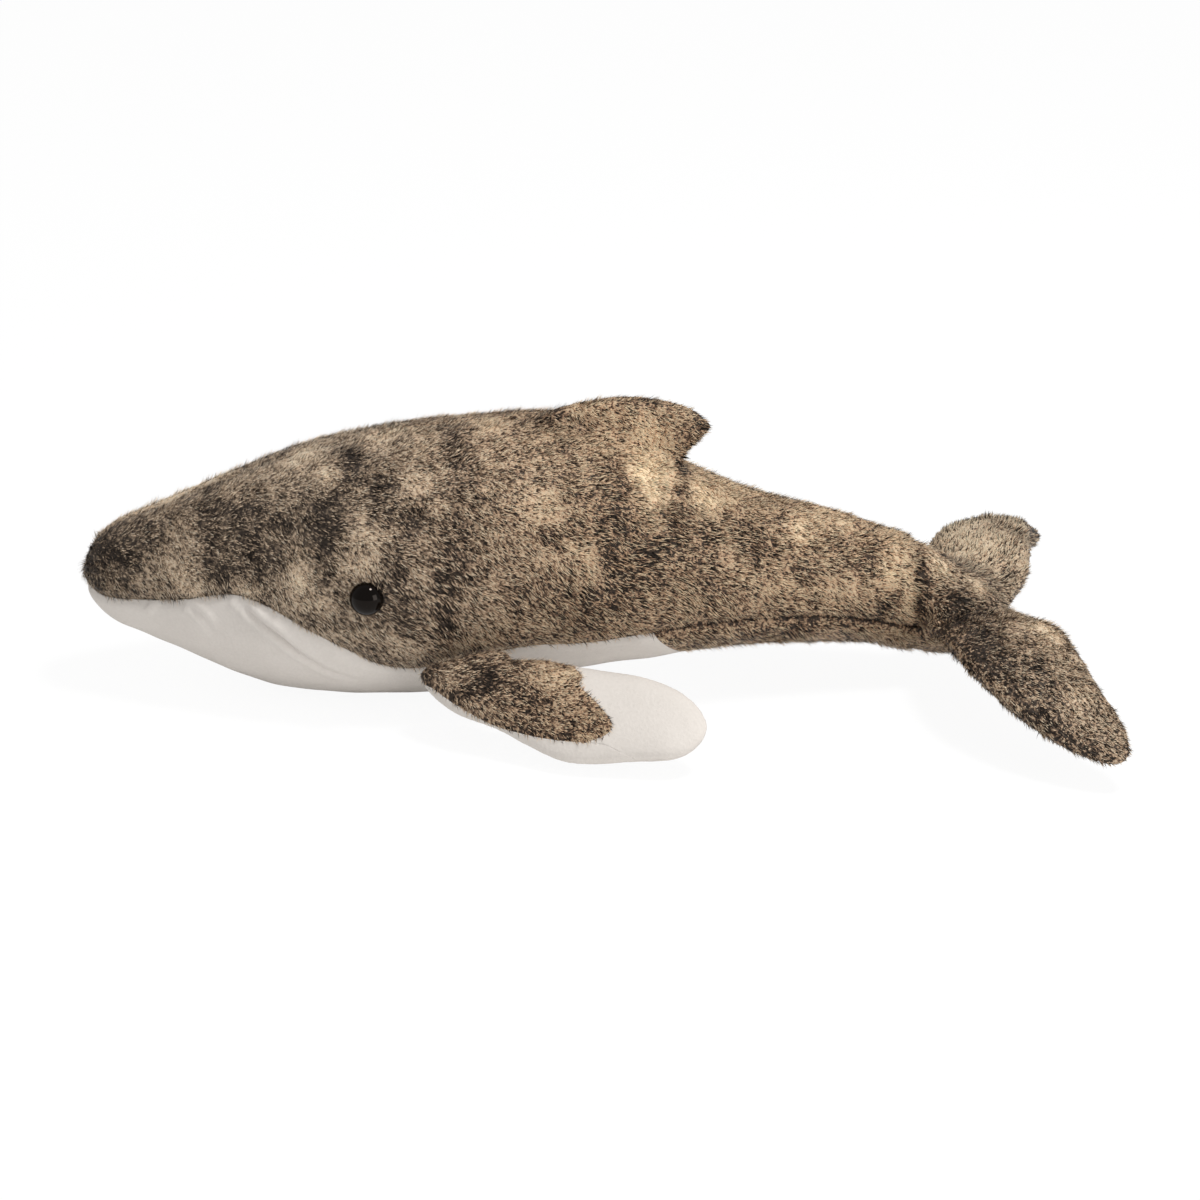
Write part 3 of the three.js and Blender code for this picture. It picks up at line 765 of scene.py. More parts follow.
# %% [markdown]
# ## Flippers
# A flipper is a stuffed blade with a thick root, sewn to the side so that it hangs and
# swings. Its upper side is mottled with a white tip, and its underside is white and wraps
# a little way round the leading edge. The right one is the left one's mirror image.


# %% Flippers
def flipper_place(along, across, up):
    return along - flipper_root_width / 2, -across, up


flipper_inset = 0.8
knuckle = flipper_root_thickness / 2 - flipper_inset
flipper_skin = form(
    "flipper_skin",
    blade(flipper_shares, flipper_length, flipper_reach, flipper_thickness, flipper_swell,
          flipper_place, flipper_inset),
    bulb((0, 0, 0), (flipper_root_width / 2 - flipper_inset, knuckle, knuckle), 0.55),
)
soften(flipper_skin, 1.0, 8)
points, facing = coordinates(flipper_skin.data), normals(flipper_skin.data)
points = points + facing * (0.4 * lumps(points, 16, 5))[:, None]
place_points(flipper_skin.data, points)


# where the fur ends on the upper side: towards the leading edge, and towards the tip
rim_shares = [(-.1, -.1), (.03, .08), (.12, .27), (.22, .44), (.35, .6), (.46, .7), (.56, .77),
              (.62, .81), (.68, .89), (.75, .97), (.85, 1.1), (1.1, 1.2)]
tip_shares = [(-.2, .53), (.2, .565), (.28, .585), (.34, .57), (.45, .602), (.59, .643),
              (.69, .66), (.75, .628), (.77, .556), (.83, .5), (1.2, .3)]
rim_line = table_reader(
    lambda a: flipper_reach * line_at(rim_shares, a / flipper_length), -8, flipper_length + 8)
tip_line = table_reader(
    lambda a: flipper_length * line_at(tip_shares, a / flipper_reach), -8, flipper_reach + 8)


def rim_level(co):
    return -rim_line(co[0] / mm + flipper_root_width / 2) * mm


def tip_level(co):
    return (tip_line(-co[1] / mm) - flipper_root_width / 2) * mm


def side_point(station, height):
    """A point of the left side, and the way that the side faces there."""
    middle, half_height, half_width = section(station)
    cosine = (height - middle) / half_height
    sine = math.sqrt(1 - cosine ** 2)
    behind_width = section(station + nose_length)[2]
    slope = (behind_width - section(station - nose_length)[2]) / (2 * nose_length)
    facing = Vector((-slope * sine, -sine / half_width * half_height, cosine)).normalized()
    return Vector((station, -half_width * sine, height)), facing


def upper(f):
    """Whether a face is on the flipper's upper side, inside the white edge."""
    centre = f.calc_center_median()
    return centre.z > 0 and centre.y > rim_level(centre)


seat, seat_facing = side_point(flipper_station, flipper_root_height)
seat = seat + seat_facing * (flipper_root_thickness / 2 + seam_gap)
seat_turn = (Euler((0, math.radians(-flipper_rake), 0)).to_matrix()
             @ Euler((math.radians(flipper_droop), 0, 0)).to_matrix())

bm = bmesh.new()
bm.from_mesh(flipper_skin.data)
shear_cut(bm, bm.faces[:], 2, lambda co: 0)
shear_cut(bm, [f for f in bm.faces if f.calc_center_median().z > 0], 1, rim_level)
shear_cut(bm, [f for f in bm.faces if upper(f)], 0, tip_level)
bm.verts.index_update()
parts = {"flipper_fur": [], "flipper_white_tip": [], "flipper_underside": []}
for f in bm.faces:
    centre = f.calc_center_median()
    if not upper(f):
        parts["flipper_underside"].append(f)
    elif centre.x < tip_level(centre):
        parts["flipper_fur"].append(f)
    else:
        parts["flipper_white_tip"].append(f)
for name, faces in parts.items():
    left = sheet_from("left_" + name, faces)
    spots = coordinates(left.data) - (nose_tip, 0, 0)
    spots = spots @ np.array(seat_turn).T + np.array(seat) + (nose_tip, 0, 0)
    place_points(left.data, spots)
    right = left.copy()
    right.data = left.data.copy()
    right.name = "right_" + name
    scene.collection.objects.link(right)
    place_points(right.data, spots * (1, -1, 1))
    right.data.flip_normals()
    sheets["left_" + name], sheets["right_" + name] = left, right
bm.free()
bpy.data.objects.remove(flipper_skin)
print("flippers:", [name for name in sheets if "flipper" in name])

# %% [markdown]
# ## Printed blotches, and some painted light and shade
# The fabric is printed before it is cut, with tan and charcoal blotches. Each is a soft
# spot in space: a centre, a size and a strength, above 0 for light and below 0 for dark.
# The first table is on both sides, shifted on the right one, because that is cut from
# another stretch of the same fabric. The other two are on one side or lobe alone. A few spots in
# the first and last tables are painted light and shade, not print.

# %% Blotches, in millimetres
blotches = [  # centre, half width, half height, strength
    (-168, -13, 60, 9, 8, -1), (-155, -13, 67, 6, 5, -.6), (-127, -24, 72, 14, 11, -.6),
    (-131, -31, 57, 7, 5, -.8), (-93, -35, 76, 8, 13, -1), (-113, -35, 64, 9, 6, -.5),
    (-83, -15, 91, 5, 6, -1), (-73, -30, 87, 6, 7, -.8), (-46, -15, 99, 6, 8, -.9),
    (-48, -42, 74, 4, 14, -.9), (-67, -46, 61, 5, 7, -.6), (-51, -47, 43, 3, 9, -.8),
    (-14, -1, 103, 6, 5, -.9), (9, -28, 85, 6, 10, -1), (16, -36, 69, 10, 8, -.8),
    (4, -42, 50, 17, 11, -.7), (-26, -46, 52, 5, 8, -.7), (33, -24, 75, 4, 6, -.7),
    (42, -24, 69, 4, 8, -.8), (54, -21, 65, 4, 8, -.9), (61, -23, 57, 4, 6, -.7),
    (43, -31, 51, 8, 11, -.6), (90, -11, 61, 4, 4, -.6), (100, -13, 55, 3, 4, -.7),
    # the narrow dark spot at x 120 on this line is painted shade in the crease at the fold
    (106, -17, 40, 6, 8, -.8), (120, -12, 44, 3, 11, -.8),
    (21, -5, 110, 6, 3, -.7), (40, -3, 102, 4, 7, -.5), (30, -5, 99, 4, 7, -.5),
    (-55, -48, 25, 5, 5, -.6), (-39, -50, 28, 6, 6, -.8), (-24, -62, 22, 6, 4, -.8),
    (-65, -47, 45, 6, 6, -.5), (-142, -24, 63, 6, 12, .6), (-151, -24, 54, 9, 5, .5),
    (-100, -40, 62, 6, 12, 1), (-76, -39, 75, 7, 8, .8), (-82, -43, 66, 5, 7, .5),
    (-101, -14, 89, 13, 6, .5), (-60, -29, 90, 8, 8, .9), (-57, -13, 99, 5, 6, .6),
    (-17, -35, 85, 8, 16, .7), (-34, -20, 97, 9, 6, .4), (21, -19, 86, 9, 16, 1.2),
    (4, -10, 98, 6, 9, .5), (-5, -42, 68, 9, 5, .7), (48, -7, 77, 11, 5, .7),
    (52, -27, 57, 5, 5, .7), (81, -5, 67, 11, 8, .5), (71, -23, 48, 11, 5, .5),
    (91, -20, 43, 9, 5, .6), (110, -11, 52, 5, 14, .9), (-15, -58, 26, 8, 5, .8),
    (18, -39, 58, 7, 5, .3),
]
blotch_shift = 12  # along the body, on the right side
one_sided = [  # centre, half width, half depth, half height, strength
    (-152, 5, 68, 26, 4.5, 25, 1.8), (135, -21, 37, 9, 10, 8, -1.4), (133, -50, 36, 9, 10, 9, -.8),
    (140, -66, 34, 8, 10, 8, -.7), (147, -80, 28, 6, 9, 6, -.5), (154, -88, 23, 6, 8, 5, -.3),
    (162, -95, 18, 6, 8, 4, -.3), (156, -76, 31, 3.5, 7, 7, -.6), (167, -81, 28, 6, 9, 7, .8),
    (150, -46, 40, 7, 9, 6, .5), (162, -57, 38, 6, 8, 5, .4), (142, 38, 42, 9, 14, 9, 1),
    (152, 26, 40, 12, 14, 10, 1), (176, 82, 28, 6, 9, 8, -.5), (158, 12, 36, 5, 8, 5, -.4),
]
# Some patches are painted light and shade rather than print: the strong light ones along the top
# of the back, near y -2 to -6, are painted light where the top faces the high lamp; the dark ones
# at x 29 to 34, from the fin's notch down, are painted shade at the fin's rear base and in the
# slack fold; the dark pair at x 119 is painted shade in the crease at the fold, and the light
# strip at x 115 beside it is a painted highlight on the ridge.
patches = [  # centre, half length, half girth, strength
    (-91, -22, 87, 5, 5, .8), (-102, -5, 90, 5, 6, .7), (-73, -3, 97, 9, 8, 1.5),
    (-36, -4, 101, 7, 8, 1.5), (-4, -2, 107, 5, 4, 1.5), (17, -19, 89, 4, 5, .9),
    (21, -6, 97, 4, 3, .5), (23, -16, 87, 8, 10, .8), (39, -10, 81, 4, 5, .9),
    (-89, -18, 89, 5, 5, .7), (-15, -13, 100, 5, 5, .5), (6, -3, 109, 6, 4, .6),
    (22, -6, 103, 8, 5, .7), (34, -7, 86, 2.2, 5, -2.4), (32, -17, 81, 2, 4, -1),
    (29, -27, 75, 3, 5, -1.5), (31, -33, 66, 4, 5, -1), (18, -38, 58, 8, 6, -.8),
    (3, -38, 74, 8, 5, -.7), (41, -17, 76, 5, 5, 1.3), (75, -13, 63, 4, 5, 1.1),
    (92, -8, 63, 3, 4, .7), (106, -15, 47, 4, 5, 1.3), (128, -7, 47, 5, 4, 1.7),
    (140, -10, 40, 4, 8, 1.6), (144, 54, 40, 10, 6, 1.4), (166, 54, 39, 4, 6, 1.2),
    (160, -46, 39, 5, 7, 1.4), (-79, -44, 63, 6, 3, .8), (-126, -11, 80, 4, 4, .7),
    (-102, -40, 56, 3, 3, .8), (0, -42, 59, 4, 4, 1.2), (-51, -36, 82, 4, 3, .9),
    (-35, -33, 87, 3, 2, .8), (-7, -59, 30, 4, 3, .8), (-2, -70, 23, 4, 5, .3),
    (-66, -45, 38, 4, 4, .5), (-95, -43, 49, 7, 3, .7), (-80, -45, 39, 7, 3, .7),
    (-68, -45, 32, 5, 3, .7), (-141, -28, 49, 7, 3, .8), (-119, -35, 52, 6, 3, 1.2),
    (-163, -16, 57, 9, 4, -.3), (-179, -7, 50, 4, 5, -1.3), (-107, -30, 74, 4, 3, -1.3),
    (-71, -36, 79, 5, 4, -1), (-94, -38, 68, 3, 3, -.7), (-60, -39, 77, 3, 6, -.7),
    (-51, -46, 58, 4, 8, -1.1), (-40, -46, 56, 3, 4, -.8), (-49, -46, 44, 3, 5, -1),
    (-15, -29, 90, 7, 3, -1.1), (-6, -33, 84, 4, 3, -.9), (-15, -41, 72, 5, 4, -1.3),
    (7, -39, 64, 3, 7, -1.4), (23, -35, 63, 5, 4, -1.1), (28, -31, 69, 4, 4, -1),
    (36, -2, 91, 4, 5, -1.2), (24, -3, 108, 3, 4, -.6), (40, -2, 100, 3, 3, -.6),
    (75, -21, 51, 6, 3, -1.1), (105, -16, 34, 3, 3, -1), (129, -30, 36, 5, 11, -.8),
    (137, -49, 38, 4, 9, -.8), (154, -68, 35, 3, 7, -.7), (171, -83, 25, 3, 4, -.8),
    (-46, -58, 21, 5, 3, -1.1), (-36, -57, 26, 5, 5, -1.3), (-24, -62, 25, 4, 4, -.7),
    (-17, -67, 22, 4, 4, -1), (-24, -71, 13, 9, 3, -1.1), (-10, -76, 14, 5, 2, -.9),
    (69, -19, 27, 24, 4, -1.1), (40, -24, 26, 7, 5, -.6), (-56, -23, 94, 12, 3, -.7),
    (146, 32, 40, 3, 6, -.8), (119, -12, 43, 3, 6, -1), (119, -13, 34, 3, 5, -.5),
    (115, -15, 39, 2, 8, 1.4), (101, -17, 39, 3, 3, .6), (148, -81, 20, 7, 5, -.5),
    (156, -86, 16, 7, 5, -.4), (166, -93, 13, 6, 4, -.4),
]
print_and_painted_spots = [
    (x + shift, y * hand, z, wide, 1.3 * max(wide, high), high, strength)
    for shift, hand in ((0, 1), (blotch_shift, -1)) for x, y, z, wide, high, strength in blotches
] + one_sided
for x, y, z, wide, girth, strength in patches:
    print_and_painted_spots.append((x, y, z, wide, girth, girth, strength))


def print_and_painted_tone(points):
    """How light (above 0) or dark (below 0) the print, with its painted light and shade, is at
    points.
    """
    tone = np.zeros(len(points))
    for x, y, z, wide, deep, high, strength in print_and_painted_spots:
        away = (((points - (x, y, z)) / (wide, deep, high)) ** 2).sum(1)
        tone += strength * np.exp(-away ** 1.3 * 0.7)
    return np.clip(tone, -1.5, 2.4)


def keep_on(mesh, name, values):
    """Stores a number, or a place, at each point of a mesh."""
    kind, field = ("FLOAT_VECTOR", "vector") if np.ndim(values) == 2 else ("FLOAT", "value")
    mesh.attributes.new(name, kind, "POINT").data.foreach_set(field, np.ravel(values))


print(len(print_and_painted_spots), "blotches")

# %% [markdown]
# ## Seams in the pile
# Pile is shorter beside a seam, and it is painted darker there, as painted shade in the seam's
# valley. It shows most along the tail, less round the flukes, and only a little along the back and
# across the fold. It doesn't show at all on the flippers or where fur meets white, because there
# the fur hangs over the seam.


# %% Distance from the seams
def triangles(mesh):
    mesh.calc_loop_triangles()
    flat = np.empty(len(mesh.loop_triangles) * 3, np.int32)
    mesh.loop_triangles.foreach_get("vertices", flat)
    return flat.reshape(-1, 3)


def seam_tree(mesh):
    """The points of a sheet's open edge, to measure from."""
    corners = triangles(mesh)
    sides = np.concatenate([corners[:, [0, 1]], corners[:, [1, 2]], corners[:, [2, 0]]])
    pairs, uses = np.unique(np.sort(sides, 1), axis=0, return_counts=True)
    spots = coordinates(mesh)[np.unique(pairs[uses == 1])]
    tree = KDTree(len(spots))
    for i, spot in enumerate(spots):
        tree.insert(spot, i)
    tree.balance()
    return tree


# how dark the painted shade beside a seam is, and how wide, in mm
seam_shade, seam_shade_width = 1.1, 0.8


def seam_strength(name, found):
    """How much the seam shows, in trimmed pile and painted shade, at each found place, 0 to 1."""
    station = found[:, 0] - nose_tip
    belly_end = body_length * line_at(belly_end_shares, found[:, 2] / body_height)
    on_back = (np.abs(found[:, 1]) < 1) & (found[:, 2] > seam_height(station) + 5)
    by_white = station < belly_end + 2
    at_fold = np.abs(station - fold_station) < 1.5
    kinds = [on_back, by_white, at_fold, station > fold_station]
    return np.select(kinds, [0.15, 0, 0.12, 0.6], 1) * ("flipper" not in name)


def from_seam(name, spots):
    """How far spots lie from their sheet's edge, where on it, and how it shows there."""
    found = [edges[name].find(spot) for spot in spots]
    apart = np.array([distance for _, _, distance in found])
    nearest = np.array([spot for spot, _, _ in found])
    return apart, nearest, seam_strength(name, nearest)


white_sheets = ("throat_belly", "white_tip", "flipper_underside")
edges = {name: seam_tree(sheet.data) for name, sheet in sheets.items()
         if not name.endswith(white_sheets)}
print("seams measured on", sorted(edges))

# %% [markdown]
# ## Which way the fur lies
# The fur is brushed from head to tail, out along the flukes and down the flippers. Where
# it meets white it leans over the edge, and round the eyes it is left out.


# %% Naps
def body_nap(root):
    """Head to tail, falling down the sides, most of all at the head."""
    falls = np.interp(root[:, 0], (-60, 60), (0.6, 0.3))
    return np.stack([np.ones(len(root)), np.zeros(len(root)), -falls], 1)


def fluke_nap(root):
    """From the root of the flukes towards the tips."""
    outward = np.sign(root[:, 1]) * np.clip(np.abs(root[:, 1]) / 30, 0, 1)
    return np.stack([np.full(len(root), 0.75), outward, np.full(len(root), -0.2)], 1)


def flipper_nap(root):
    outward = np.sign(root[:, 1]) * 0.35
    return np.stack([np.full(len(root), 0.9), outward, np.full(len(root), -0.3)], 1)


eye_seat, eye_facing = side_point(eye_station, eye_height)
eye_spot = np.array(eye_seat) + (nose_tip, 0, 0)


def clear_of_eyes(root):
    left = np.linalg.norm(root - eye_spot, axis=1) > eye_radius - 0.1
    right = np.linalg.norm(root * (1, -1, 1) - eye_spot, axis=1) > eye_radius - 0.1
    return left & right


def white_below(root):
    """Where a side panel meets the throat and belly panel."""
    station = root[:, 0] - nose_tip
    before_end = station < body_length * belly_end_shares[0][1]
    return before_end & (root[:, 2] < seam_height(station) + 12)


def no_white(root):
    return np.zeros(len(root), bool)


def all_white(root):
    return np.ones(len(root), bool)


print("left eye's seat at", [round(float(v), 1) for v in eye_spot])

# %% [markdown]
# ## Tufts
# The mottled fabric is a short plush. From a step away its fibres show as fine tufts, with
# painted shade at the root and a painted highlight towards the tip. Each tuft is a closed spike of
# four faces, which is cheap enough to plant by the ten thousand. Random draws come from a fixed
# seed for each sheet, so the fur is the same on every run.

# %% One pile
tufts_per_square, tuft_length, tuft_width = 2.2, 2.4, 0.44  # per square mm, and in mm
tuft_lift, lift_spread, tuft_stray = (math.radians(v) for v in (22, 10, 12))
trim_reach, hang_reach = 2.4, 2  # how far from a seam the tufts are trimmed, or lean over
seam_clearance, white_clearance = 0.5, 0.2  # no tuft is rooted closer to the edge
root_sink = 0.15  # how far a tuft's foot lies under the fabric's surface
wisp_lift, wisp_growth = 0.45, 0.5  # what a wisp adds, in radians and as a share of length


def unit(vectors):
    return vectors / np.maximum(np.linalg.norm(vectors, axis=1), 1e-9)[:, None]


def scatter(sheet, draw):
    """Random places over a sheet, with the way that it faces at each."""
    spots, facing = coordinates(sheet.data), normals(sheet.data)
    corners = triangles(sheet.data)
    a, b, c = (spots[corners[:, k]] for k in range(3))
    area = np.linalg.norm(np.cross(b - a, c - a), axis=1) / 2
    count = int(area.sum() * tufts_per_square)
    pick = draw.choice(len(corners), count, p=area / area.sum())
    s, t = draw.random((2, count))
    over = s + t > 1
    s[over], t[over] = 1 - s[over], 1 - t[over]
    weights = np.stack([1 - s - t, s, t], 1)
    root = np.einsum("nk,nkd->nd", weights, spots[corners[pick]])
    return root, unit(np.einsum("nk,nkd->nd", weights, facing[corners[pick]]))


def wisps(name, root):
    """Where small wisps stand up (above 0): not on flippers, nor near where one swings."""
    from_seat = np.linalg.norm(np.abs(root - (nose_tip, 0, 0)) - np.abs(np.array(seat)), axis=1)
    calm = np.clip((from_seat - 30) / 15, 0, 1) * ("flipper" not in name)
    return calm * lumps(root, 5, 6)


def spike_faces(spikes):
    """The faces of each four-cornered spike, turned outwards."""
    a, b, c, tip = (spikes[:, k] for k in range(4))
    turned = np.einsum("nd,nd->n", np.cross(b - a, c - a), tip - a) > 0
    return np.where(turned[:, None, None], [[0, 2, 1], [0, 1, 3], [1, 2, 3], [2, 0, 3]],
                    [[0, 1, 2], [1, 0, 3], [2, 1, 3], [0, 2, 3]])


def chart(mesh, faces):
    """Gives each tuft its own cell of the map that its colours can be baked to."""
    count = len(faces)
    side = math.ceil(math.sqrt(count))
    cell = np.stack([np.arange(count) % side, np.arange(count) // side], 1)
    inner = np.array([[0.08, 0.1], [0.92, 0.1], [0.5, 0.1], [0.5, 0.92]])
    where = inner[faces]
    where[:, 0] = np.array([[0.08, 0.1], [0.92, 0.1], [0.5, 0.3]])[faces[:, 0]]
    for k in range(1, 4):
        low = faces[:, k] < 3
        rank = np.cumsum(low, 1) - 1
        where[:, k][low] = inner[:2][rank[low]]
    layer = mesh.uv_layers.new(name="OFBake")
    layer.data.foreach_set("uv", ((cell[:, None, None] + where) / side).ravel())


def spike_mesh(name, spikes, faces):
    """A mesh of closed spikes, four corners and four faces each."""
    count = len(spikes)
    mesh = bpy.data.meshes.new(name)
    mesh.vertices.add(count * 4)
    mesh.vertices.foreach_set("co", (spikes * mm).ravel())
    mesh.loops.add(count * 12)
    shifted = faces + np.arange(count)[:, None, None] * 4
    mesh.loops.foreach_set("vertex_index", shifted.ravel())
    mesh.polygons.add(count * 4)
    mesh.polygons.foreach_set("loop_start", np.arange(count * 4) * 3)
    mesh.update()
    return mesh


def plant(name, nap, over_white, seed, keep_clear=None):
    """A pile over a sheet, leaning along nap(places), and over the edge where it is white."""
    draw = np.random.default_rng(seed)
    root, out = scatter(sheets[name], draw)
    apart, nearest, shows = from_seam(name, root)
    hangs = over_white(root)
    kept = apart > np.where(hangs, white_clearance, seam_clearance)
    if keep_clear is not None:
        kept &= keep_clear(root)
    root, out, apart, to_edge, hangs, shows = (
        part[kept] for part in (root, out, apart, unit(nearest - root), hangs, shows))
    count = len(root)
    trimmed = 1 - 0.7 * shows * valley(apart, trim_reach)
    flow = nap(root) + to_edge * (0.8 * hangs * valley(apart, hang_reach))[:, None]
    flow = unit(flow - out * np.sum(flow * out, 1)[:, None])
    across = np.cross(out, flow)
    swirl = 0.6 * lumps(root, 14, 3) + 0.35 * lumps(root, 5, 4)
    swing = (swirl + draw.normal(0, tuft_stray, count))[:, None]
    turned = flow * np.cos(swing) + across * np.sin(swing)
    flow, across = turned, across * np.cos(swing) - flow * np.sin(swing)
    tousled = wisps(name, root)
    rise = draw.normal(tuft_lift, lift_spread, count) + wisp_lift * tousled
    rise = np.clip(rise, 0.05, 1.3)[:, None]
    lean = flow * np.cos(rise) + out * np.sin(rise)
    upright = np.cross(lean, across)
    grown = tuft_length * trimmed * (1 + wisp_growth * tousled)
    reach = (grown * draw.uniform(0.65, 1.3, count))[:, None]
    finer = 1 - 0.4 * hangs * valley(apart, hang_reach)
    half = (tuft_width / 2 * finer * draw.uniform(0.75, 1.25, count))[:, None]
    sunk = root - out * root_sink
    spikes = np.stack([
        sunk + across * half, sunk - across * half, sunk - upright * half * 0.45,
        root + lean * reach,
    ], 1)
    faces = spike_faces(spikes)
    mesh = spike_mesh(name + "_pile", spikes, faces)
    # painted shade beside the seam, taken off the tone that the pile stores
    shade = seam_shade * shows * valley(apart, 1.4 * seam_shade_width)
    keep_on(mesh, "rest", np.repeat(root * mm, 4, 0))
    keep_on(mesh, "blotch", np.repeat(print_and_painted_tone(root) - shade, 4))
    keep_on(mesh, "tuft", np.repeat(draw.random(count), 4))
    keep_on(mesh, "tip", np.tile([0.0, 0.0, 0.0, 1.0], count))
    chart(mesh, faces)
    return add_object(name + "_pile", mesh)


print(tufts_per_square, "tufts to a square millimetre")

# %% [markdown]
# ## Planting
# Each furred sheet gets a pile, with its own nap and its own seed.

# %% Plant the piles
naps = {
    "left_side": (body_nap, 11), "right_side": (body_nap, 12), "tail_underside": (body_nap, 13),
    "left_fluke_top": (fluke_nap, 14), "right_fluke_top": (fluke_nap, 15),
    "fluke_underside": (fluke_nap, 16), "left_flipper_fur": (flipper_nap, 17),
    "right_flipper_fur": (flipper_nap, 18),
}
piles = {}
for name, (nap, seed) in naps.items():
    on_side = name.endswith("_side")
    over_white = white_below if on_side else all_white if "flipper" in name else no_white
    piles[name] = plant(name, nap, over_white, seed, clear_of_eyes if on_side else None)
print({name: len(made.data.polygons) // 4 for name, made in piles.items()})

# %% [markdown]
# ## Shells
# Each sheet gets the thickness of its fabric, inwards, and becomes a closed shell. It keeps
# its places at rest, its print with the painted light and shade, and its pleats as values for the
# finishes to read.

# %% Give the fabric its thickness
for name, sheet in sheets.items():
    apply_modifier(sheet, "SOLIDIFY", thickness=shell_thickness * mm, offset=-1)
    at_rest = np.empty(len(sheet.data.vertices) * 3)
    sheet.data.vertices.foreach_get("co", at_rest)
    at_rest = at_rest.reshape(-1, 3)
    spots, shade, pleat = at_rest / mm, 0, np.zeros(len(at_rest))
    if name in edges:
        apart, _, shows = from_seam(name, spots)
        # painted shade beside the seam, taken off the tone that the shell stores
        shade = seam_shade * shows * valley(apart, seam_shade_width)
    if name == "throat_belly":
        groove = pleat_groove(spots - (nose_tip, 0, 0), 0.7 * pleat_width)
        pleat = np.clip(groove, 0, 1)
    keep_on(sheet.data, "rest", at_rest)
    keep_on(sheet.data, "blotch", print_and_painted_tone(spots) - shade)
    keep_on(sheet.data, "pleat", pleat)
    sheet.name = name + "_skin"
print(len(sheets), "shells")

# %% [markdown]
# ## Mottled plush
# A fibre's tone is a sum: the print's blotches with the painted light and shade stored among them,
# three sizes of noise, and for a tuft its own luck and a painted highlight towards its tip. One
# colour ramp turns tone into brown-grey for the head, another into tan for the tail. Tufts are
# painted darker at the root, as painted shade, and the backing between them is painted darker
# still, as painted shade in the gaps, less so where the print is light. All of it reads the place
# at rest, so the pattern stays on the fabric when it bends.


# %% Mottled finish
def mottled(name, planted):
    fur = Finish(name)
    rest, blotch = fur.stored("rest", out=1), fur.stored("blotch")
    bands = fur.node("Mapping", {}, {"Vector": rest, "Scale": (1.0, 1.0, 0.6)})
    broad = fur.node("TexNoise", {}, {"Vector": bands, "Scale": 75.0, "Detail": 3.0,
                                      "Roughness": 0.55, "Distortion": 0.6})
    fine = fur.node("TexNoise", {}, {"Vector": rest, "Scale": 300.0, "Detail": 2.0})
    speck = fur.node("TexNoise", {}, {"Vector": rest, "Scale": 900.0, "Detail": 1.0})
    place = fur.node("SeparateXYZ", {}, {0: rest}, out=0)

    def from_to(low, high):
        """0 ahead of one place along the body, 1 behind the other, in metres."""
        return fur.node("MapRange", {"interpolation_type": "SMOOTHSTEP"},
                        {0: place, 1: low, 2: high, 3: 0.0, 4: 1.0})

    towards_tail, on_flukes = from_to(-0.1, 0.02), from_to(0.11, 0.14)
    tone = (0.526 + towards_tail * 0.06 - on_flukes * 0.05
            + blotch * (towards_tail * 0.06 + 0.16)
            + (broad - 0.5) * 0.5 + (fine - 0.5) * 0.4
            + (speck - 0.5) * (towards_tail * 0.7 + 0.8))
    if planted:
        tuft, tip = fur.stored("tuft"), fur.stored("tip")
        # the tip term is part of the painted highlight towards each tuft's tip
        tone = tone + (tuft - 0.5) * (towards_tail * 0.7 + 0.6) + (tip - 0.5) * 0.16
    cool = fur.node("ValToRGB", {"stops": [
        (0.2, srgb(26, 23, 22)), (0.38, srgb(68, 60, 55)), (0.52, srgb(154, 134, 114)),
        (0.66, srgb(242, 214, 183)), (0.85, srgb(248, 231, 206)),
    ]}, {0: tone})
    warm = fur.node("ValToRGB", {"stops": [
        (0.2, srgb(27, 22, 20)), (0.38, srgb(75, 60, 51)), (0.52, srgb(172, 136, 109)),
        (0.66, srgb(248, 206, 166)), (0.85, srgb(252, 225, 188)),
    ]}, {0: tone})
    colour = fur.mix(towards_tail - on_flukes * 0.5, cool, warm)
    light_print_and_painted_light = fur.node("Math", {"operation": "MAXIMUM"}, {0: blotch, 1: 0.0})
    if planted:
        # painted shade at the root, where the pile shades itself, and painted highlight towards
        # the tip; roots are less dark where the print is light
        root_shade_tip_highlight = tip * 0.75 + light_print_and_painted_light * 0.1 + 0.45  # how bright it is, root to tip
        shaded = fur.node("VectorMath", {"operation": "SCALE"}, {0: colour, "Scale": root_shade_tip_highlight})
        capped = fur.node("VectorMath", {"operation": "MINIMUM"}, {0: shaded, 1: (1, 1, 1)})
        fur.set(Base_Color=capped)
    else:
        # the skin under the pile is painted dark, as painted shade in the gaps between tufts, less
        # so where the print is light
        shade_between_tufts = srgb(40, 34, 30)
        fur.set(Base_Color=fur.mix(0.55 - light_print_and_painted_light * 0.2, colour, shade_between_tufts))
    fur.set(Roughness=0.5, Specular_IOR_Level=0.3, Specular_Tint=(1, 0.84, 0.68))
    return fur.material


fur_skin, fur_pile = mottled("mottled_backing", False), mottled("mottled_pile", True)
print("finishes", fur_skin.name, "and", fur_pile.name)

# %% [markdown]
# ## White plush
# The white fabric has a pile too short to see, so fine noise makes its bloom. The bottom
# of each pleat is greyer, as little light gets in there.

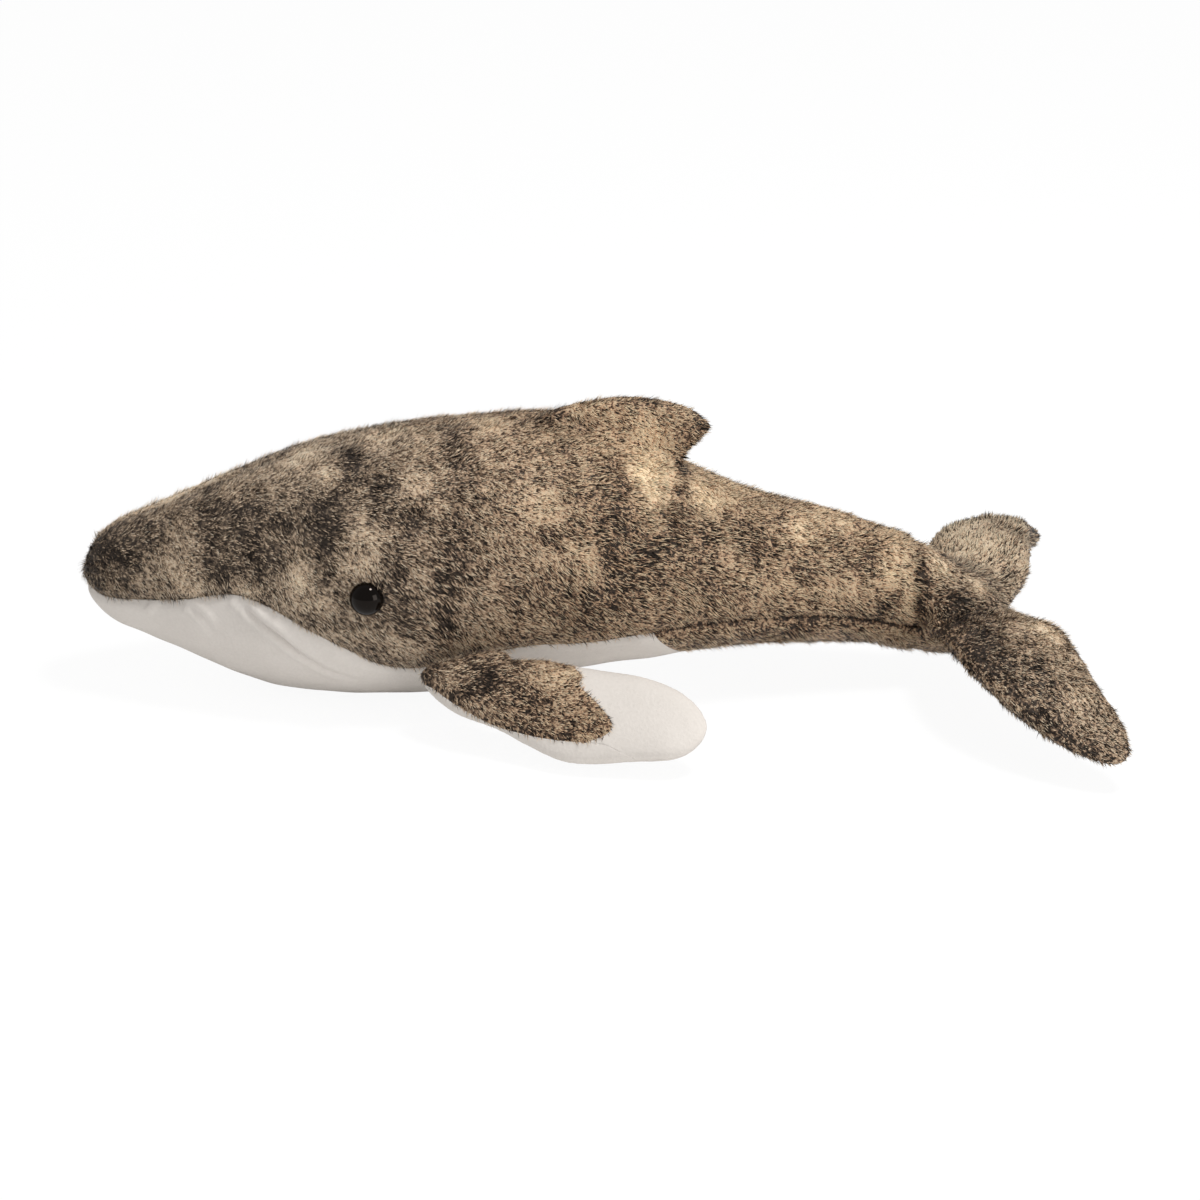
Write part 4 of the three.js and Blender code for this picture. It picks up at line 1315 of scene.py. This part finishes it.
# %% White finish
velboa = Finish("white_short_pile")
rest = velboa.stored("rest", out=1)
fuzz = velboa.node("TexNoise", {}, {"Vector": rest, "Scale": 900.0, "Detail": 3.0})
cloud = velboa.node("TexNoise", {}, {"Vector": rest, "Scale": 90.0, "Detail": 2.0})
in_pleat = velboa.stored("pleat")
cloth = velboa.mix(fuzz * 0.5 + cloud * 0.5, srgb(205, 198, 190), srgb(229, 222, 215))
velboa.set(Base_Color=velboa.mix(in_pleat * 0.9, cloth, srgb(128, 119, 112)), Roughness=0.9)
bloom = velboa.node("Bump", {}, {"Strength": 0.5, "Distance": 0.0004, "Height": fuzz})
velboa.set(Normal=bloom)
for name, sheet in sheets.items():
    sheet.data.materials.append(fur_skin if name in piles else velboa.material)
for made in piles.values():
    made.data.materials.append(fur_pile)
print("finishes on", len(sheets) + len(piles), "pieces")

# %% [markdown]
# ## Eyes
# Each eye is a moulded black dome on a thin rim, pressed into the pile.

# %% Eyes
eye_finish = Finish("polished_black")
rest_place = eye_finish.node("TexCoord", out=3)
haze = eye_finish.node("TexNoise", {}, {"Vector": rest_place, "Scale": 400.0, "Detail": 2.0})
eye_finish.set(Base_Color=srgb(3, 2, 2), Roughness=haze * 0.05 + 0.01,
               Specular_IOR_Level=0.18, Specular_Tint=(1, 0.85, 0.75))
eye_sink = 1.2  # the pile stands up round the rim


def eye(name, hand):
    bpy.ops.mesh.primitive_uv_sphere_add(segments=48, ring_count=32, radius=eye_radius * mm)
    made = bpy.context.object
    made.name = name
    bpy.ops.object.mode_set(mode="EDIT")
    bpy.ops.mesh.select_all(action="SELECT")
    bpy.ops.mesh.bisect(plane_co=(0, 0, 0), plane_no=(0, 0, 1), use_fill=True, clear_inner=True)
    bpy.ops.mesh.extrude_region_move(TRANSFORM_OT_translate={"value": (0, 0, -eye_rim * mm)})
    bpy.ops.object.mode_set(mode="OBJECT")
    spots = coordinates(made.data)
    spots[:, 2] = np.where(spots[:, 2] > 0, spots[:, 2] * eye_rise / eye_radius, spots[:, 2])
    facing = Vector((eye_facing.x, eye_facing.y * hand, eye_facing.z))
    turn = np.array(Vector((0, 0, 1)).rotation_difference(facing).to_matrix())
    centre = (eye_spot - np.array(eye_facing) * eye_sink) * (1, hand, 1)
    place_points(made.data, spots @ turn.T + centre)
    face_outward(made)
    bpy.ops.object.shade_smooth_by_angle(angle=math.radians(50))
    made.select_set(False)
    made.data.materials.append(eye_finish.material)
    return made


eyes = {"left_eye": eye("left_eye_dome", 1), "right_eye": eye("right_eye_dome", -1)}
print("eyes", eye_radius * 2, "mm across")

# %% [markdown]
# ## Onto the frame
# The flipper pieces ride on their flippers, and the throat panel and the eyes on the body. The
# other pieces keep their places;
# the tail stock and the flukes are one skin. Each piece hides the imported parts that it stands
# for.

# %% Ride and replace
stands_for = {
    "left_side": ["left_side_panel", "body_filling", "left_eye_washer"],
    "right_side": ["right_side_panel", "right_eye_washer"],
    "throat_belly": ["throat_belly_panel"], "tail_underside": ["tail_underside_panel"],
    "left_fluke_top": ["left_fluke_top_panel", "fluke_filling"],
    "right_fluke_top": ["right_fluke_top_panel"],
    "fluke_underside": ["fluke_underside_panel"],
}
for side in ("left", "right"):
    stands_for[f"{side}_flipper_fur"] = [f"{side}_flipper_fur_panel", f"{side}_flipper_filling"]
    stands_for[f"{side}_flipper_white_tip"] = [f"{side}_flipper_white_tip"]
    stands_for[f"{side}_flipper_underside"] = [f"{side}_flipper_underside"]
for name, sheet in sheets.items():
    furred = name in piles
    for made in [sheet, piles[name]] if furred else [sheet]:
        if "flipper" in name:
            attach(made, name.split("_")[0] + "_flipper")
        elif name == "throat_belly":
            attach(made, "body")
        else:
            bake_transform(made)
    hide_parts(*stands_for[name])
for node, dome in eyes.items():
    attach(dome, "body")
    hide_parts(node)
